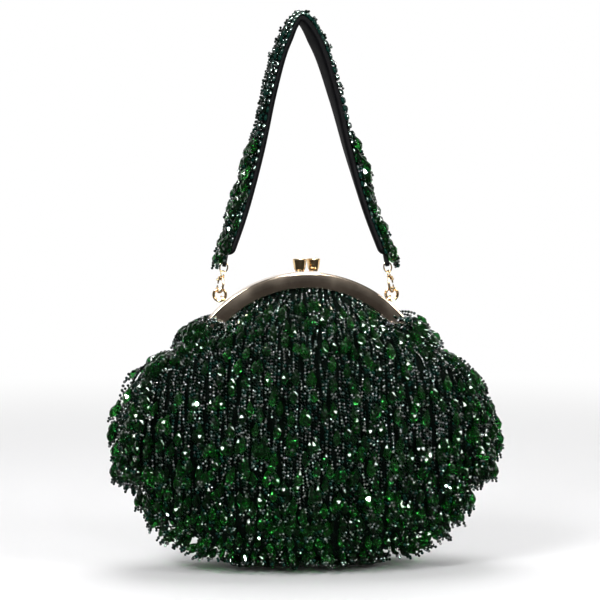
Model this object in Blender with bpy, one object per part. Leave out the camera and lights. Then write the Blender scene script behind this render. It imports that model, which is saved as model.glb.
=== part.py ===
"""Beaded pouch bag: a fringed evening pouch on a hinged metal frame with a twisted hand strap.

Metres, +Z up, +X to the bag's right, -Y towards the viewer (the front).
The origin is the middle of the flat patch that the bag stands on.
"""
import math

import bmesh
import bpy
from mathutils import Vector

for old in list(bpy.data.objects):
    bpy.data.objects.remove(old, do_unlink=True)

# Clearances
FIT_GAP = 0.0003            # between pieces that touch on the real bag
PIN_GAP = 0.00015           # between a small pin and its hole
CUT_OVERRUN = 0.001         # how far a cutter passes the face it cuts

# Metal frame: two channel halves bent to one arc, hinged at their ends
FRAME_RADIUS = 0.083
FRAME_CENTRE_Z = 0.1087
FRAME_BAND = 0.010
FRAME_DEPTH = 0.008
FRAME_WALL = 0.0012
FRAME_CORNER = 0.0012
FRAME_END_DEG = 60.0
FRAME_STEPS = 28
FRAME_END_X = (FRAME_RADIUS - FRAME_BAND / 2) * math.sin(math.radians(FRAME_END_DEG))
FRAME_END_Z = FRAME_CENTRE_Z + (FRAME_RADIUS - FRAME_BAND / 2) * math.cos(math.radians(FRAME_END_DEG))

# Hinge lugs and rivets
HINGE_BELOW_END = 0.0047
HINGE_Z = FRAME_END_Z - HINGE_BELOW_END
LUG_RADIUS = 0.004
LUG_THICK = 0.0012
LUG_INWARD = 0.00004998
LUG_X = FRAME_END_X - LUG_INWARD
LUG_RISE = 0.0072
LUG_LEAVE_DEG = 30.0
RIVET_RADIUS = 0.0012
RIVET_HEAD_RADIUS = 0.0024
RIVET_HEAD = 0.001
RIVET_CROWN_SHARE = 0.7

# Edge cord pressed into each channel
CORD_BAND = 0.0034
CORD_WIDTH = 0.0044
CORD_END_DEG = 53.0

# Clasp: two tapered knobs that cross as the halves close
KNOB_TOP_RADIUS = 0.0045
KNOB_FOOT_RADIUS = 0.003
KNOB_HEIGHT = 0.0065
KNOB_RIM = 0.0012
KNOB_GAP = 0.0005
KNOB_STEM_RADIUS = 0.0014
KNOB_STEM = 0.0018
KNOB_FLANGE_SHARE = 1.5
KNOB_Y = 0.0032

# Ring staples, rings
RING_ANGLE_DEG = 39.3
RING_RADIUS = 0.0039
RING_WIRE = 0.001
RING_Y = 0.0036
STAPLE_WIRE = 0.0007
STAPLE_HALF = 0.0025
STAPLE_BEND_SHARE = 0.5
STAPLE_CORNER_SHARE = 0.3

# Lobster claws, measured from the ring's top wire along the chain
CHAIN_LEAN_DEG = 11.0
CLAW_TURN_DEG = 55.0
CLAW_WIRE = 0.00075
HOOK_RADIUS = 0.0028
HOOK_CENTRE = 0.0004
HOOK_LIP = 0.0016
CLAW_SHOULDER = 0.0046
CLAW_EYE = 0.0099
CLAW_EYE_RADIUS = 0.0018
CLAW_EYE_WIRE = 0.0005
CLAW_NECK_RADIUS = 0.0016
GATE_WIRE = 0.00062
GATE_PIVOT_OUT = 0.0012
GATE_PIVOT = 0.0066
GATE_EYE_RADIUS = 0.0011
GATE_EYE_HALF = 0.0004
GATE_NUB = 0.0011
CHEEK_RADIUS = 0.0014
CHEEK_THICK = 0.0006
CLAW_PIN_RADIUS = 0.0004
CLAW_PIN_HEAD = 0.0001
SHOULDER_OUT_SHARE = 0.85
NECK_OUT_SHARE = 0.4
NECK_START_OUT_SHARE = 0.2
NECK_START_SHARE = 0.6
NECK_PROFILE_SHARES = ((0.0, 0.7), (0.3, 1.0), (0.7, 1.0), (1.0, 0.6))
GATE_OUT_SHARES = (1.0, 0.97, 0.8, 1.2)
NUB_OUT_SHARE = 0.9
NUB_TILT_SHARE = 0.4
NUB_PROFILE_SHARES = ((0.0, 0.8), (1.0, 0.8), (1.3, 1.2), (1.8, 1.2), (2.1, 0.7))

# Oval links and the leather-like tabs of the strap
LINK_LENGTH = 0.0066
LINK_HALF = 0.0025
LINK_WIRE = 0.0005
TAB_WIDTH = 0.0075
TAB_THICK = 0.0016
TAB_HOLE = 0.0013
TAB_BELOW_HOLE = 0.0024
TAB_LENGTH = 0.0078
TAB_TIP_SHARES = ((1.0, 0.5), (0.6, 0.8), (0.0, 0.95))

# Strap: a flat band, satin inside and beads outside, turned a little about its own length
STRAP_TOP_Z = 0.361
STRAP_LEAN = -0.004
STRAP_TWIST_DEG = 20.0
STRAP_LINING_WIDTH = 0.019
STRAP_LINING_THICK = 0.0012
STRAP_BEAD_WIDTH = 0.0205
STRAP_BEAD_THICK = 0.0024
STRAP_STEPS = 18
STRAP_SPREAD_SHARES = (1.0, 0.80, 0.60, 0.425, 0.235, 0.0)
STRAP_RISE_SHARES = (0.0, 0.19, 0.43, 0.68, 0.885, 1.0)

# Drops sewn along the outer side of the strap's lower part
STRAP_DROP_DEPTH = 0.0075
STRAP_DROP_WIDTH = 0.015
STRAP_DROP_START_SHARE = 0.01
STRAP_DROP_END_SHARE = 0.22
STRAP_DROP_RIB_SHARE = 0.25
STRAP_DROP_SECTION_SHARES = (1.05, 0.5, 0.6)
STRAP_DROP_SWELL_SHARES = (0.12, 0.8)
STRAP_DROP_SWELL_POWER = 0.8

# Pouch: an oval bowl below, gathered up to the frame above
POUCH_HALF_WIDTH = 0.1145
POUCH_HALF_DEPTH = 0.041
POUCH_WIDEST_Z = 0.085
POUCH_LOWER_RISE = 0.082
POUCH_UPPER_RISE = 0.086
POUCH_JOIN_Z = 0.112
POUCH_BOTTOM_Z = 0.0095
POUCH_SIDE_INWARD = 0.0045
POUCH_SIDE_X = LUG_X - POUCH_SIDE_INWARD
POUCH_SIDE_BELOW = 0.0075
POUCH_SIDE_Z = HINGE_Z - POUCH_SIDE_BELOW
MOUTH_DROP = 0.0015
MOUTH_END_DEG = 52.0
TUCK_SHARE = 0.55
SIDE_TUCK = 0.0015
SIDE_PUFF = 0.006
SIDE_POWER = 8
SPREAD_POWER = 1.6
SPREAD_SIDE_DROP = 0.8
FORWARD_POWER = 0.9
PUFF_PART_POWER = 3
PUFF_DROP_POWER = 1.5
NORMAL_STEP_SHARE = 0.006
FABRIC_HALF = 0.0005
LINING_THICK = 0.0008
MOUTH_SHARE = 0.72
MOUTH_FALL_SHARE = 0.6

# Fringe: tiers that overlap like shingles, each scalloped at its hem
TIER_TOP_THICK = 0.0026
TIER_HEM_THICK = 0.0088
TIER_HEM_LIFT = 0.0042
TIER_RIB_SHARE = 0.10
TIER_SCALLOP_SHARE = 0.10
TIER_TURNS = 40
TIER_SHARES = (0.0, 0.6, 1.0)
TIER_SWELL_POWER = 1.5
LOWER_TIER_DROPS = ((1.03, 1.32), (1.25, 1.53), (1.46, 1.74), (1.67, 1.97))
UPPER_TIER_DROPS = ((0.09, 0.44), (0.34, 0.67), (0.61, 0.99))
TOP_TIER_REACH = 0.64
TOP_TIER_FALL = 0.15
SEAM_GAP = 0.004
QUARTER = 0.25
PANEL_DROPS = (-0.95, 0.0, 0.12, 0.3, 0.6, 0.999)
BOWL_DROPS = (1.001, 1.3, 1.6, 1.82, 1.99)
BASE_HALF_WIDTH = 0.040
BASE_HALF_DEPTH = 0.0145
BASE_FLARE = 0.006

UP = Vector((0.0, 0.0, 1.0))
ALONG_X = Vector((1.0, 0.0, 0.0))
ALONG_Y = Vector((0.0, 1.0, 0.0))


# Materials

def make_material(name, colour, roughness, metallic):
    material = bpy.data.materials.new(name)
    material.use_nodes = True
    shader = material.node_tree.nodes["Principled BSDF"]
    shader.inputs["Base Color"].default_value = (*colour, 1.0)
    shader.inputs["Roughness"].default_value = roughness
    shader.inputs["Metallic"].default_value = metallic
    return material


GOLD = make_material("pale_gold", (0.80, 0.66, 0.45), 0.18, 1.0)
BEADS = make_material("green_beads", (0.010, 0.050, 0.028), 0.15, 0.0)
DROPS = make_material("green_drops", (0.010, 0.120, 0.035), 0.08, 0.0)
SATIN = make_material("black_satin", (0.010, 0.010, 0.011), 0.45, 0.0)
GROUND = make_material("ground_fabric", (0.008, 0.014, 0.010), 0.85, 0.0)
PAPER = make_material("paper_cord", (0.45, 0.36, 0.24), 0.9, 0.0)


# Building blocks

class Pivot:
    """An empty on a joint's axis, with its place in the world; the moving pieces hang from it."""

    def __init__(self, name, place, carrier=None):
        self.place = Vector(place)
        self.empty = bpy.data.objects.new(name, None)
        bpy.context.scene.collection.objects.link(self.empty)
        self.empty.location = self.place - (carrier.place if carrier else Vector((0.0, 0.0, 0.0)))
        self.empty.parent = carrier.empty if carrier else None


def add_piece(name, rings, material, pivot=None, closed=False):
    """A solid from rings of points: open ends are capped, a closed run joins last ring to first."""
    origin = pivot.place if pivot else Vector((0.0, 0.0, 0.0))
    mesh = bmesh.new()
    rows = [[mesh.verts.new(point - origin) for point in ring] for ring in rings]
    for index in range(len(rows) if closed else len(rows) - 1):
        near = rows[index]
        far = rows[(index + 1) % len(rows)]
        for side in range(len(near)):
            after = (side + 1) % len(near)
            mesh.faces.new((near[side], near[after], far[after], far[side]))
    if not closed:
        mesh.faces.new(rows[0])
        mesh.faces.new(rows[-1])
    mesh.normal_update()
    bmesh.ops.triangulate(mesh, faces=mesh.faces[:])
    bmesh.ops.recalc_face_normals(mesh, faces=mesh.faces[:])
    data = bpy.data.meshes.new(name)
    mesh.to_mesh(data)
    mesh.free()
    data.materials.append(material)
    data.shade_smooth()
    data.set_sharp_from_angle(angle=math.radians(35.0))
    piece = bpy.data.objects.new(name, data)
    bpy.context.scene.collection.objects.link(piece)
    piece.parent = pivot.empty if pivot else None
    return piece


def combine(piece, tools, operation):
    """Joins tools to a piece, or cuts them from it; the tools stay as hidden guides."""
    for tool in tools:
        tool.hide_render = True
        tool.display_type = "WIRE"
        step = piece.modifiers.new(tool.name, "BOOLEAN")
        step.operation = operation
        step.solver = "EXACT"
        step.object = tool


def circle(centre, first, second, radius, sides):
    """Points round a circle in the plane of two unit directions."""
    points = []
    for side in range(sides):
        angle = math.tau * side / sides
        points.append(centre + first * (radius * math.cos(angle)) + second * (radius * math.sin(angle)))
    return points


def rod_rings(start, along, profile, sides=12):
    """Rings of a turned piece; the profile lists (distance along, radius)."""
    first = along.orthogonal().normalized()
    second = along.cross(first)
    return [circle(start + along * far, first, second, radius, sides) for far, radius in profile]


def tube_rings(points, radius, normal, sides=8, closed=False):
    """Rings of a round bar along points that lie in the plane with this normal."""
    rings = []
    count = len(points)
    for index, point in enumerate(points):
        before = points[index - 1] if closed or index > 0 else point
        after = points[(index + 1) % count] if closed or index < count - 1 else point
        along = (after - before).normalized()
        rings.append(circle(point, normal, along.cross(normal), radius, sides))
    return rings


def smooth_path(points, steps):
    """Points read from a smooth curve through the given ones."""
    ends = [2 * points[0] - points[1]] + list(points) + [2 * points[-1] - points[-2]]
    path = []
    spans = len(points) - 1
    for step in range(steps + 1):
        place = min(step / steps * spans, spans - 1e-9)
        span = int(place)
        t = place - span
        a, b, c, d = ends[span:span + 4]
        path.append(0.5 * (2 * b + (c - a) * t + (2 * a - 5 * b + 4 * c - d) * t ** 2
                           + (3 * b - a - 3 * c + d) * t ** 3))
    return path


def arc_point(angle, radius, y):
    """A point on the frame's arc: angle from the top, distance from its centre, depth."""
    return Vector((radius * math.sin(angle), y, FRAME_CENTRE_Z + radius * math.cos(angle)))


def arc_sweep(profile, end_angle, steps):
    """Rings of a section of (distance from the arc's centre, y) points swept along the arc."""
    rings = []
    for step in range(steps + 1):
        angle = end_angle * (2 * step / steps - 1)
        rings.append([arc_point(angle, radius, y) for radius, y in profile])
    return rings


# Joint axes

FRONT_HINGE = Pivot("front_frame_axis", (0.0, 0.0, HINGE_Z))
STAPLE_RISE = 2 * FIT_GAP + 2 * RING_WIRE + STAPLE_WIRE
RING_CENTRE_OUT = FRAME_RADIUS + FIT_GAP + RING_WIRE + RING_RADIUS
RING_CENTRE = arc_point(math.radians(RING_ANGLE_DEG), RING_CENTRE_OUT, RING_Y)
RING_AXIS_Z = arc_point(math.radians(RING_ANGLE_DEG), RING_CENTRE_OUT - RING_RADIUS, 0.0).z
RING_AXIS = Pivot("ring_axis", (0.0, RING_Y, RING_AXIS_Z))
HANDLE_AXIS = Pivot("handle_axis", (0.0, RING_Y, RING_CENTRE.z + RING_RADIUS), RING_AXIS)


# Frame halves: an open channel with lugs in its ends

def channel_profile(side):
    """Section of one half as (distance from the arc's centre, y); side is -1 at the front, +1 behind."""
    inner = FRAME_RADIUS - FRAME_BAND
    ceiling = FRAME_RADIUS - FRAME_WALL
    meet = FIT_GAP / 2
    outline = [(inner, FRAME_DEPTH)]
    for step in range(4):
        turn = math.pi / 2 * step / 3
        outline.append((FRAME_RADIUS - FRAME_CORNER * (1 - math.sin(turn)),
                        FRAME_DEPTH - FRAME_CORNER * (1 - math.cos(turn))))
    outline += [(FRAME_RADIUS, meet), (inner, meet), (inner, meet + FRAME_WALL),
                (ceiling, meet + FRAME_WALL), (ceiling, FRAME_DEPTH - FRAME_WALL),
                (inner, FRAME_DEPTH - FRAME_WALL)]
    return [(radius, side * y) for radius, y in outline]


def add_frame_half(name, side, pivot=None):
    swept = arc_sweep(channel_profile(side), math.radians(FRAME_END_DEG), FRAME_STEPS)
    return add_piece(name, swept, GOLD, pivot)


def lug_outline(side):
    """Outline of a hinge lug as (y, z) about the pivot: a round eye, a tab up into the channel's end."""
    inner_y = FIT_GAP / 2 + FRAME_WALL + FIT_GAP
    outer_y = FRAME_DEPTH - FRAME_WALL - FIT_GAP
    meeting = math.acos(inner_y / LUG_RADIUS)
    leaving = math.radians(LUG_LEAVE_DEG)
    outline = [(inner_y, LUG_RISE)]
    for step in range(13):
        turn = meeting + (math.tau - meeting - leaving) * step / 12
        outline.append((LUG_RADIUS * math.cos(turn), LUG_RADIUS * math.sin(turn)))
    outline += [(outer_y, LUG_RADIUS), (outer_y, LUG_RISE)]
    return [(side * y, z) for y, z in outline]


def add_hinge_lug(name, side, hand, lug_x):
    """A flat lug soldered into the end of a channel, with the rivet's hole."""
    pivot = FRONT_HINGE if side < 0 else None
    eye = Vector((hand * lug_x, 0.0, HINGE_Z))
    along = ALONG_X * hand
    rings = [[eye + along * far + ALONG_Y * y + UP * z for y, z in lug_outline(side)]
             for far in (0.0, LUG_THICK)]
    lug = add_piece(name, rings, GOLD, pivot)
    hole = RIVET_RADIUS + FIT_GAP
    reach = LUG_THICK + 2 * CUT_OVERRUN
    drill = rod_rings(eye - along * CUT_OVERRUN, along, ((0.0, hole), (reach, hole)))
    cutter = add_piece(f"{name}_hole", drill, GOLD)
    combine(lug, [cutter], "DIFFERENCE")
    return lug


FRONT_LUG_X = LUG_X + LUG_THICK + FIT_GAP
add_frame_half("rear_frame", 1)
add_frame_half("front_frame", -1, FRONT_HINGE)


def add_hinge_rivet(name, hand):
    """A rivet through both lugs, with a domed head at each end."""
    inner = LUG_X - FIT_GAP - RIVET_HEAD
    grip = FRONT_LUG_X + LUG_THICK - LUG_X + 2 * FIT_GAP
    crown_radius = RIVET_HEAD_RADIUS * RIVET_CROWN_SHARE
    profile = ((0.0, crown_radius), (RIVET_HEAD / 2, RIVET_HEAD_RADIUS), (RIVET_HEAD, RIVET_HEAD_RADIUS),
               (RIVET_HEAD, RIVET_RADIUS), (RIVET_HEAD + grip, RIVET_RADIUS),
               (RIVET_HEAD + grip, RIVET_HEAD_RADIUS), (1.5 * RIVET_HEAD + grip, RIVET_HEAD_RADIUS),
               (2 * RIVET_HEAD + grip, crown_radius))
    return add_piece(name, rod_rings(Vector((hand * inner, 0.0, HINGE_Z)), ALONG_X * hand, profile), GOLD)


def add_frame_cord(name, side):
    """Twisted paper cord pressed into the channel above the fabric's edge."""
    middle_y = (FRAME_DEPTH - FRAME_WALL + FIT_GAP / 2 + FRAME_WALL) / 2
    top = FRAME_RADIUS - FRAME_WALL - FIT_GAP
    section = []
    for step in range(8):
        turn = math.tau * step / 8
        section.append((top - CORD_BAND / 2 * (1 - math.cos(turn)),
                        side * (middle_y + CORD_WIDTH / 2 * math.sin(turn))))
    pivot = FRONT_HINGE if side < 0 else None
    return add_piece(name, arc_sweep(section, math.radians(CORD_END_DEG), FRAME_STEPS // 2), PAPER, pivot)


def add_clasp_knob(name, side, hand):
    """A tapered knob on a stem, riveted to the top of one frame half, beside its partner."""
    pivot = FRONT_HINGE if side < 0 else None
    out = hand * (KNOB_TOP_RADIUS + KNOB_GAP / 2)
    lift = FRAME_RADIUS + FIT_GAP
    foot = Vector((out, side * KNOB_Y, FRAME_CENTRE_Z + lift))
    profile = ((0.0, KNOB_STEM_RADIUS * KNOB_FLANGE_SHARE), (KNOB_STEM / 3, KNOB_STEM_RADIUS),
               (KNOB_STEM, KNOB_STEM_RADIUS), (KNOB_STEM, KNOB_FOOT_RADIUS),
               (KNOB_STEM + KNOB_HEIGHT - KNOB_RIM, KNOB_TOP_RADIUS),
               (KNOB_STEM + KNOB_HEIGHT - KNOB_RIM / 3, KNOB_TOP_RADIUS - KNOB_RIM / 4),
               (KNOB_STEM + KNOB_HEIGHT, KNOB_TOP_RADIUS - KNOB_RIM))
    return add_piece(name, rod_rings(foot, UP, profile, 20), GOLD, pivot)


for hand, word in ((-1, "left"), (1, "right")):
    add_hinge_lug(f"rear_{word}_hinge_lug", 1, hand, LUG_X)
    add_hinge_lug(f"front_{word}_hinge_lug", -1, hand, FRONT_LUG_X)
    add_hinge_rivet(f"{word}_hinge_rivet", hand)
add_frame_cord("rear_frame_cord", 1)
add_frame_cord("front_frame_cord", -1)
add_clasp_knob("front_clasp_knob", -1, -1)
add_clasp_knob("rear_clasp_knob", 1, 1)


# Staples and rings that carry the handle

def add_staple(name, hand):
    """A bent wire soldered on the rear half's rim; the ring passes under it."""
    angle = hand * math.radians(RING_ANGLE_DEG)
    out = arc_point(angle, 1.0, 0.0) - arc_point(angle, 0.0, 0.0)
    foot = arc_point(angle, FRAME_RADIUS + FIT_GAP, RING_Y)
    top = STAPLE_RISE
    bend = STAPLE_HALF * STAPLE_BEND_SHARE
    corner = bend * STAPLE_CORNER_SHARE
    across = ((-STAPLE_HALF, 0.0), (-STAPLE_HALF, top - bend), (-STAPLE_HALF + corner, top - corner),
              (-STAPLE_HALF + bend, top), (STAPLE_HALF - bend, top), (STAPLE_HALF - corner, top - corner),
              (STAPLE_HALF, top - bend), (STAPLE_HALF, 0.0))
    points = [foot + ALONG_Y * y + out * rise for y, rise in across]
    return add_piece(name, tube_rings(points, STAPLE_WIRE, out.cross(ALONG_Y)), GOLD)


def add_ring(name, hand):
    centre = Vector((hand * RING_CENTRE.x, RING_CENTRE.y, RING_CENTRE.z))
    points = circle(centre, ALONG_X, UP, RING_RADIUS, 20)
    rings = tube_rings(points, RING_WIRE, ALONG_Y, 6, closed=True)
    return add_piece(name, rings, GOLD, RING_AXIS, closed=True)


for hand, word in ((-1, "left"), (1, "right")):
    add_staple(f"{word}_ring_staple", hand)
    add_ring(f"{word}_ring", hand)


# Lobster claws, links and tabs, set along the leaning chain

class Chain:
    """The leaning line from a ring's top wire up to the strap, with the claw's plane."""

    def __init__(self, hand):
        lean = math.radians(CHAIN_LEAN_DEG)
        turn = math.radians(CLAW_TURN_DEG)
        self.hand = hand
        self.start = Vector((hand * RING_CENTRE.x, RING_Y, RING_CENTRE.z + RING_RADIUS))
        self.along = Vector((-hand * math.sin(lean), 0.0, math.cos(lean)))
        self.level = Vector((hand * math.cos(lean), 0.0, math.sin(lean)))
        self.across = self.level * math.cos(turn) + ALONG_Y * math.sin(turn)
        self.normal = self.across.cross(self.along)

    def at(self, out, far, aside=0.0):
        return self.start + self.across * out + self.along * far + self.normal * aside


def add_claw(name, chain):
    """Cast hook with a neck, two cheeks for the gate's pin, and an eye for the link."""
    hook = [chain.at(HOOK_RADIUS * math.cos(math.radians(turn)),
                     HOOK_CENTRE + HOOK_RADIUS * math.sin(math.radians(turn)))
            for turn in range(0, -181, -30)]
    lip = [chain.at(HOOK_RADIUS, HOOK_CENTRE + HOOK_LIP)]
    back = [chain.at(-HOOK_RADIUS, CLAW_SHOULDER - HOOK_RADIUS / 2),
            chain.at(-HOOK_RADIUS * SHOULDER_OUT_SHARE, CLAW_SHOULDER),
            chain.at(-HOOK_RADIUS * NECK_OUT_SHARE, GATE_PIVOT + CHEEK_RADIUS / 2)]
    neck_top = CLAW_EYE - CLAW_EYE_RADIUS
    back.append(chain.at(0.0, neck_top - CLAW_EYE_WIRE))
    claw = add_piece(name, tube_rings(lip + hook + back, CLAW_WIRE, chain.normal, 6), GOLD, HANDLE_AXIS)
    eye_line = circle(chain.at(0.0, CLAW_EYE), chain.across, chain.along, CLAW_EYE_RADIUS, 12)
    eye_rings = tube_rings(eye_line, CLAW_EYE_WIRE, chain.normal, 6, closed=True)
    eye = add_piece(f"{name}_eye", eye_rings, GOLD, closed=True)
    start = chain.at(-HOOK_RADIUS * NECK_START_OUT_SHARE, GATE_PIVOT + CHEEK_RADIUS * NECK_START_SHARE)
    neck_length = neck_top - GATE_PIVOT - CHEEK_RADIUS * NECK_START_SHARE
    neck_profile = [(neck_length * far, CLAW_NECK_RADIUS * wide) for far, wide in NECK_PROFILE_SHARES]
    neck = add_piece(f"{name}_neck", rod_rings(start, chain.along, neck_profile, 10), GOLD)
    slot_half = GATE_WIRE + FIT_GAP / 2
    cheeks = []
    for sense in (-1, 1):
        cheek_start = chain.at(GATE_PIVOT_OUT, GATE_PIVOT, sense * slot_half)
        cheek_profile = ((0.0, CHEEK_RADIUS), (CHEEK_THICK, CHEEK_RADIUS))
        cheek_rings = rod_rings(cheek_start, chain.normal * sense, cheek_profile, 14)
        cheeks.append(add_piece(f"{name}_cheek_{sense}", cheek_rings, GOLD))
    slot_radius = GATE_EYE_RADIUS + FIT_GAP
    slot_start = chain.at(GATE_PIVOT_OUT, GATE_PIVOT, -slot_half)
    slot_profile = ((0.0, slot_radius), (2 * slot_half, slot_radius))
    slot = add_piece(f"{name}_slot", rod_rings(slot_start, chain.normal, slot_profile, 14), GOLD)
    reach = slot_half + CHEEK_THICK + CUT_OVERRUN
    hole_radius = CLAW_PIN_RADIUS + PIN_GAP
    hole_start = chain.at(GATE_PIVOT_OUT, GATE_PIVOT, -reach)
    hole_profile = ((0.0, hole_radius), (2 * reach, hole_radius))
    hole = add_piece(f"{name}_hole", rod_rings(hole_start, chain.normal, hole_profile, 10), GOLD)
    combine(claw, [eye, neck], "UNION")
    combine(claw, [slot], "DIFFERENCE")
    combine(claw, cheeks, "UNION")
    combine(claw, [hole], "DIFFERENCE")
    return claw


def add_gate(name, chain, pivot):
    """The sprung lever that closes the hook, with its thumb nub."""
    tip = HOOK_CENTRE + HOOK_LIP + FIT_GAP + GATE_WIRE
    middle = (tip + GATE_PIVOT) / 2
    tip_share, middle_share, upper_share, root_share = GATE_OUT_SHARES
    points = [chain.at(HOOK_RADIUS * tip_share, tip), chain.at(HOOK_RADIUS * middle_share, middle),
              chain.at(HOOK_RADIUS * upper_share, (middle + GATE_PIVOT) / 2),
              chain.at(GATE_PIVOT_OUT * root_share, GATE_PIVOT - GATE_WIRE)]
    lever = add_piece(name, tube_rings(points, GATE_WIRE, chain.normal, 8), GOLD, pivot)
    eye_start = chain.at(GATE_PIVOT_OUT, GATE_PIVOT, -GATE_EYE_HALF)
    eye_profile = ((0.0, GATE_EYE_RADIUS), (2 * GATE_EYE_HALF, GATE_EYE_RADIUS))
    eye = add_piece(f"{name}_eye", rod_rings(eye_start, chain.normal, eye_profile, 14), GOLD)
    nub_start = chain.at(HOOK_RADIUS * NUB_OUT_SHARE, middle)
    nub_way = (chain.across + chain.along * NUB_TILT_SHARE).normalized()
    nub_profile = [(GATE_NUB * far, GATE_WIRE * wide) for far, wide in NUB_PROFILE_SHARES]
    nub = add_piece(f"{name}_nub", rod_rings(nub_start, nub_way, nub_profile, 8), GOLD)
    reach = GATE_EYE_HALF + CUT_OVERRUN
    hole_radius = CLAW_PIN_RADIUS + PIN_GAP
    hole_start = chain.at(GATE_PIVOT_OUT, GATE_PIVOT, -reach)
    hole_profile = ((0.0, hole_radius), (2 * reach, hole_radius))
    hole = add_piece(f"{name}_hole", rod_rings(hole_start, chain.normal, hole_profile, 10), GOLD)
    combine(lever, [eye, nub], "UNION")
    combine(lever, [hole], "DIFFERENCE")
    return lever


def add_claw_pin(name, chain):
    half = GATE_WIRE + FIT_GAP / 2 + CHEEK_THICK + CLAW_PIN_HEAD
    return add_piece(name, rod_rings(chain.at(GATE_PIVOT_OUT, GATE_PIVOT, -half), chain.normal, (
        (0.0, CLAW_PIN_RADIUS), (2 * half, CLAW_PIN_RADIUS)), 10), GOLD, HANDLE_AXIS)


LINK_FOOT = CLAW_EYE + CLAW_EYE_RADIUS - CLAW_EYE_WIRE - LINK_WIRE - PIN_GAP


def add_link(name, chain):
    """Oval link that joins the claw's eye to the hole in the strap's tab."""
    centre = chain.start + chain.along * (LINK_FOOT + LINK_LENGTH / 2)
    points = []
    for step in range(16):
        turn = math.tau * step / 16
        sideways = chain.level * (LINK_HALF * math.cos(turn))
        points.append(centre + sideways + chain.along * (LINK_LENGTH / 2 * math.sin(turn)))
    rings = tube_rings(points, LINK_WIRE, ALONG_Y, 6, closed=True)
    return add_piece(name, rings, GOLD, HANDLE_AXIS, closed=True)


CHAINS = {-1: Chain(-1), 1: Chain(1)}
GATE_AXES = {}
for hand, word in ((-1, "left"), (1, "right")):
    chain = CHAINS[hand]
    GATE_AXES[hand] = Pivot(f"{word}_gate_axis", chain.at(GATE_PIVOT_OUT, GATE_PIVOT), HANDLE_AXIS)
    add_claw(f"{word}_claw", chain)
    add_gate(f"{word}_claw_gate", chain, GATE_AXES[hand])
    add_claw_pin(f"{word}_claw_pin", chain)
    add_link(f"{word}_link", chain)


# Strap

HOLE_FAR = LINK_FOOT + LINK_LENGTH - (TAB_HOLE - LINK_WIRE) / 2
TAB_TOP_FAR = HOLE_FAR + TAB_LENGTH


def strap_path():
    """The strap's middle line in the XZ plane from the left tab over the top to the right tab."""
    foot = CHAINS[1].start + CHAINS[1].along * (TAB_TOP_FAR + FIT_GAP)
    tilt = STRAP_BEAD_WIDTH / 2 * math.sin(math.radians(STRAP_TWIST_DEG))
    rise = STRAP_TOP_Z - tilt - STRAP_BEAD_THICK - foot.z
    right = []
    for spread, up in zip(STRAP_SPREAD_SHARES, STRAP_RISE_SHARES):
        right.append(Vector((spread * foot.x + STRAP_LEAN * up, RING_Y, foot.z + up * rise)))
    left = [Vector((2 * STRAP_LEAN * up - point.x, RING_Y, point.z))
            for point, up in zip(right, STRAP_RISE_SHARES)]
    return smooth_path(left[:-1] + right[::-1], 2 * STRAP_STEPS)


STRAP_PATH = strap_path()


def strap_axes(index):
    """The directions along the strap, across it towards the front, and out of its beaded side."""
    before = STRAP_PATH[max(index - 1, 0)]
    after = STRAP_PATH[min(index + 1, len(STRAP_PATH) - 1)]
    along = (after - before).normalized()
    outward = along.cross(ALONG_Y)
    twist = math.radians(STRAP_TWIST_DEG)
    across = -ALONG_Y * math.cos(twist) + outward * math.sin(twist)
    out = outward * math.cos(twist) + ALONG_Y * math.sin(twist)
    return along, across, out


def strap_slab(name, width, inner, outer, material):
    """A flat band on the strap's path, between two distances from its middle surface."""
    rings = []
    bevel = (outer - inner) / 4
    for index in range(LAST + 1):
        across, out = strap_axes(index)[1:]
        corners = ((-width / 2, inner + bevel), (-width / 2 + bevel, inner), (width / 2 - bevel, inner),
                   (width / 2, inner + bevel), (width / 2, outer - bevel), (width / 2 - bevel, outer),
                   (-width / 2 + bevel, outer), (-width / 2, outer - bevel))
        rings.append([STRAP_PATH[index] + across * wide + out * deep for wide, deep in corners])
    return add_piece(name, rings, material, HANDLE_AXIS)


LAST = len(STRAP_PATH) - 1
strap_slab("strap_lining", STRAP_LINING_WIDTH, -STRAP_LINING_THICK, 0.0, SATIN)
strap_slab("strap_beading", STRAP_BEAD_WIDTH, FIT_GAP, FIT_GAP + STRAP_BEAD_THICK, BEADS)


def add_strap_tab(name, chain):
    """A short stiff tab under the strap's end, with a hole for the link."""
    along = chain.along
    out = chain.level
    across = -ALONG_Y
    hole_centre = chain.start + along * HOLE_FAR
    rings = []
    half = TAB_THICK / 2
    outline = [(-TAB_BELOW_HOLE * down, TAB_WIDTH * wide) for down, wide in TAB_TIP_SHARES]
    for far, width in outline + [(TAB_BELOW_HOLE, TAB_WIDTH), (TAB_LENGTH, TAB_WIDTH)]:
        corners = ((-width, -half), (width, -half), (width, half), (-width, half))
        rings.append([hole_centre + along * far + across * (side / 2) + out * lift
                      for side, lift in corners])
    tab = add_piece(name, rings, SATIN, HANDLE_AXIS)
    hole = add_piece(f"{name}_hole", rod_rings(hole_centre - out * (half + CUT_OVERRUN), out, (
        (0.0, TAB_HOLE), (TAB_THICK + 2 * CUT_OVERRUN, TAB_HOLE)), 12), SATIN)
    combine(tab, [hole], "DIFFERENCE")
    return tab


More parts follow.
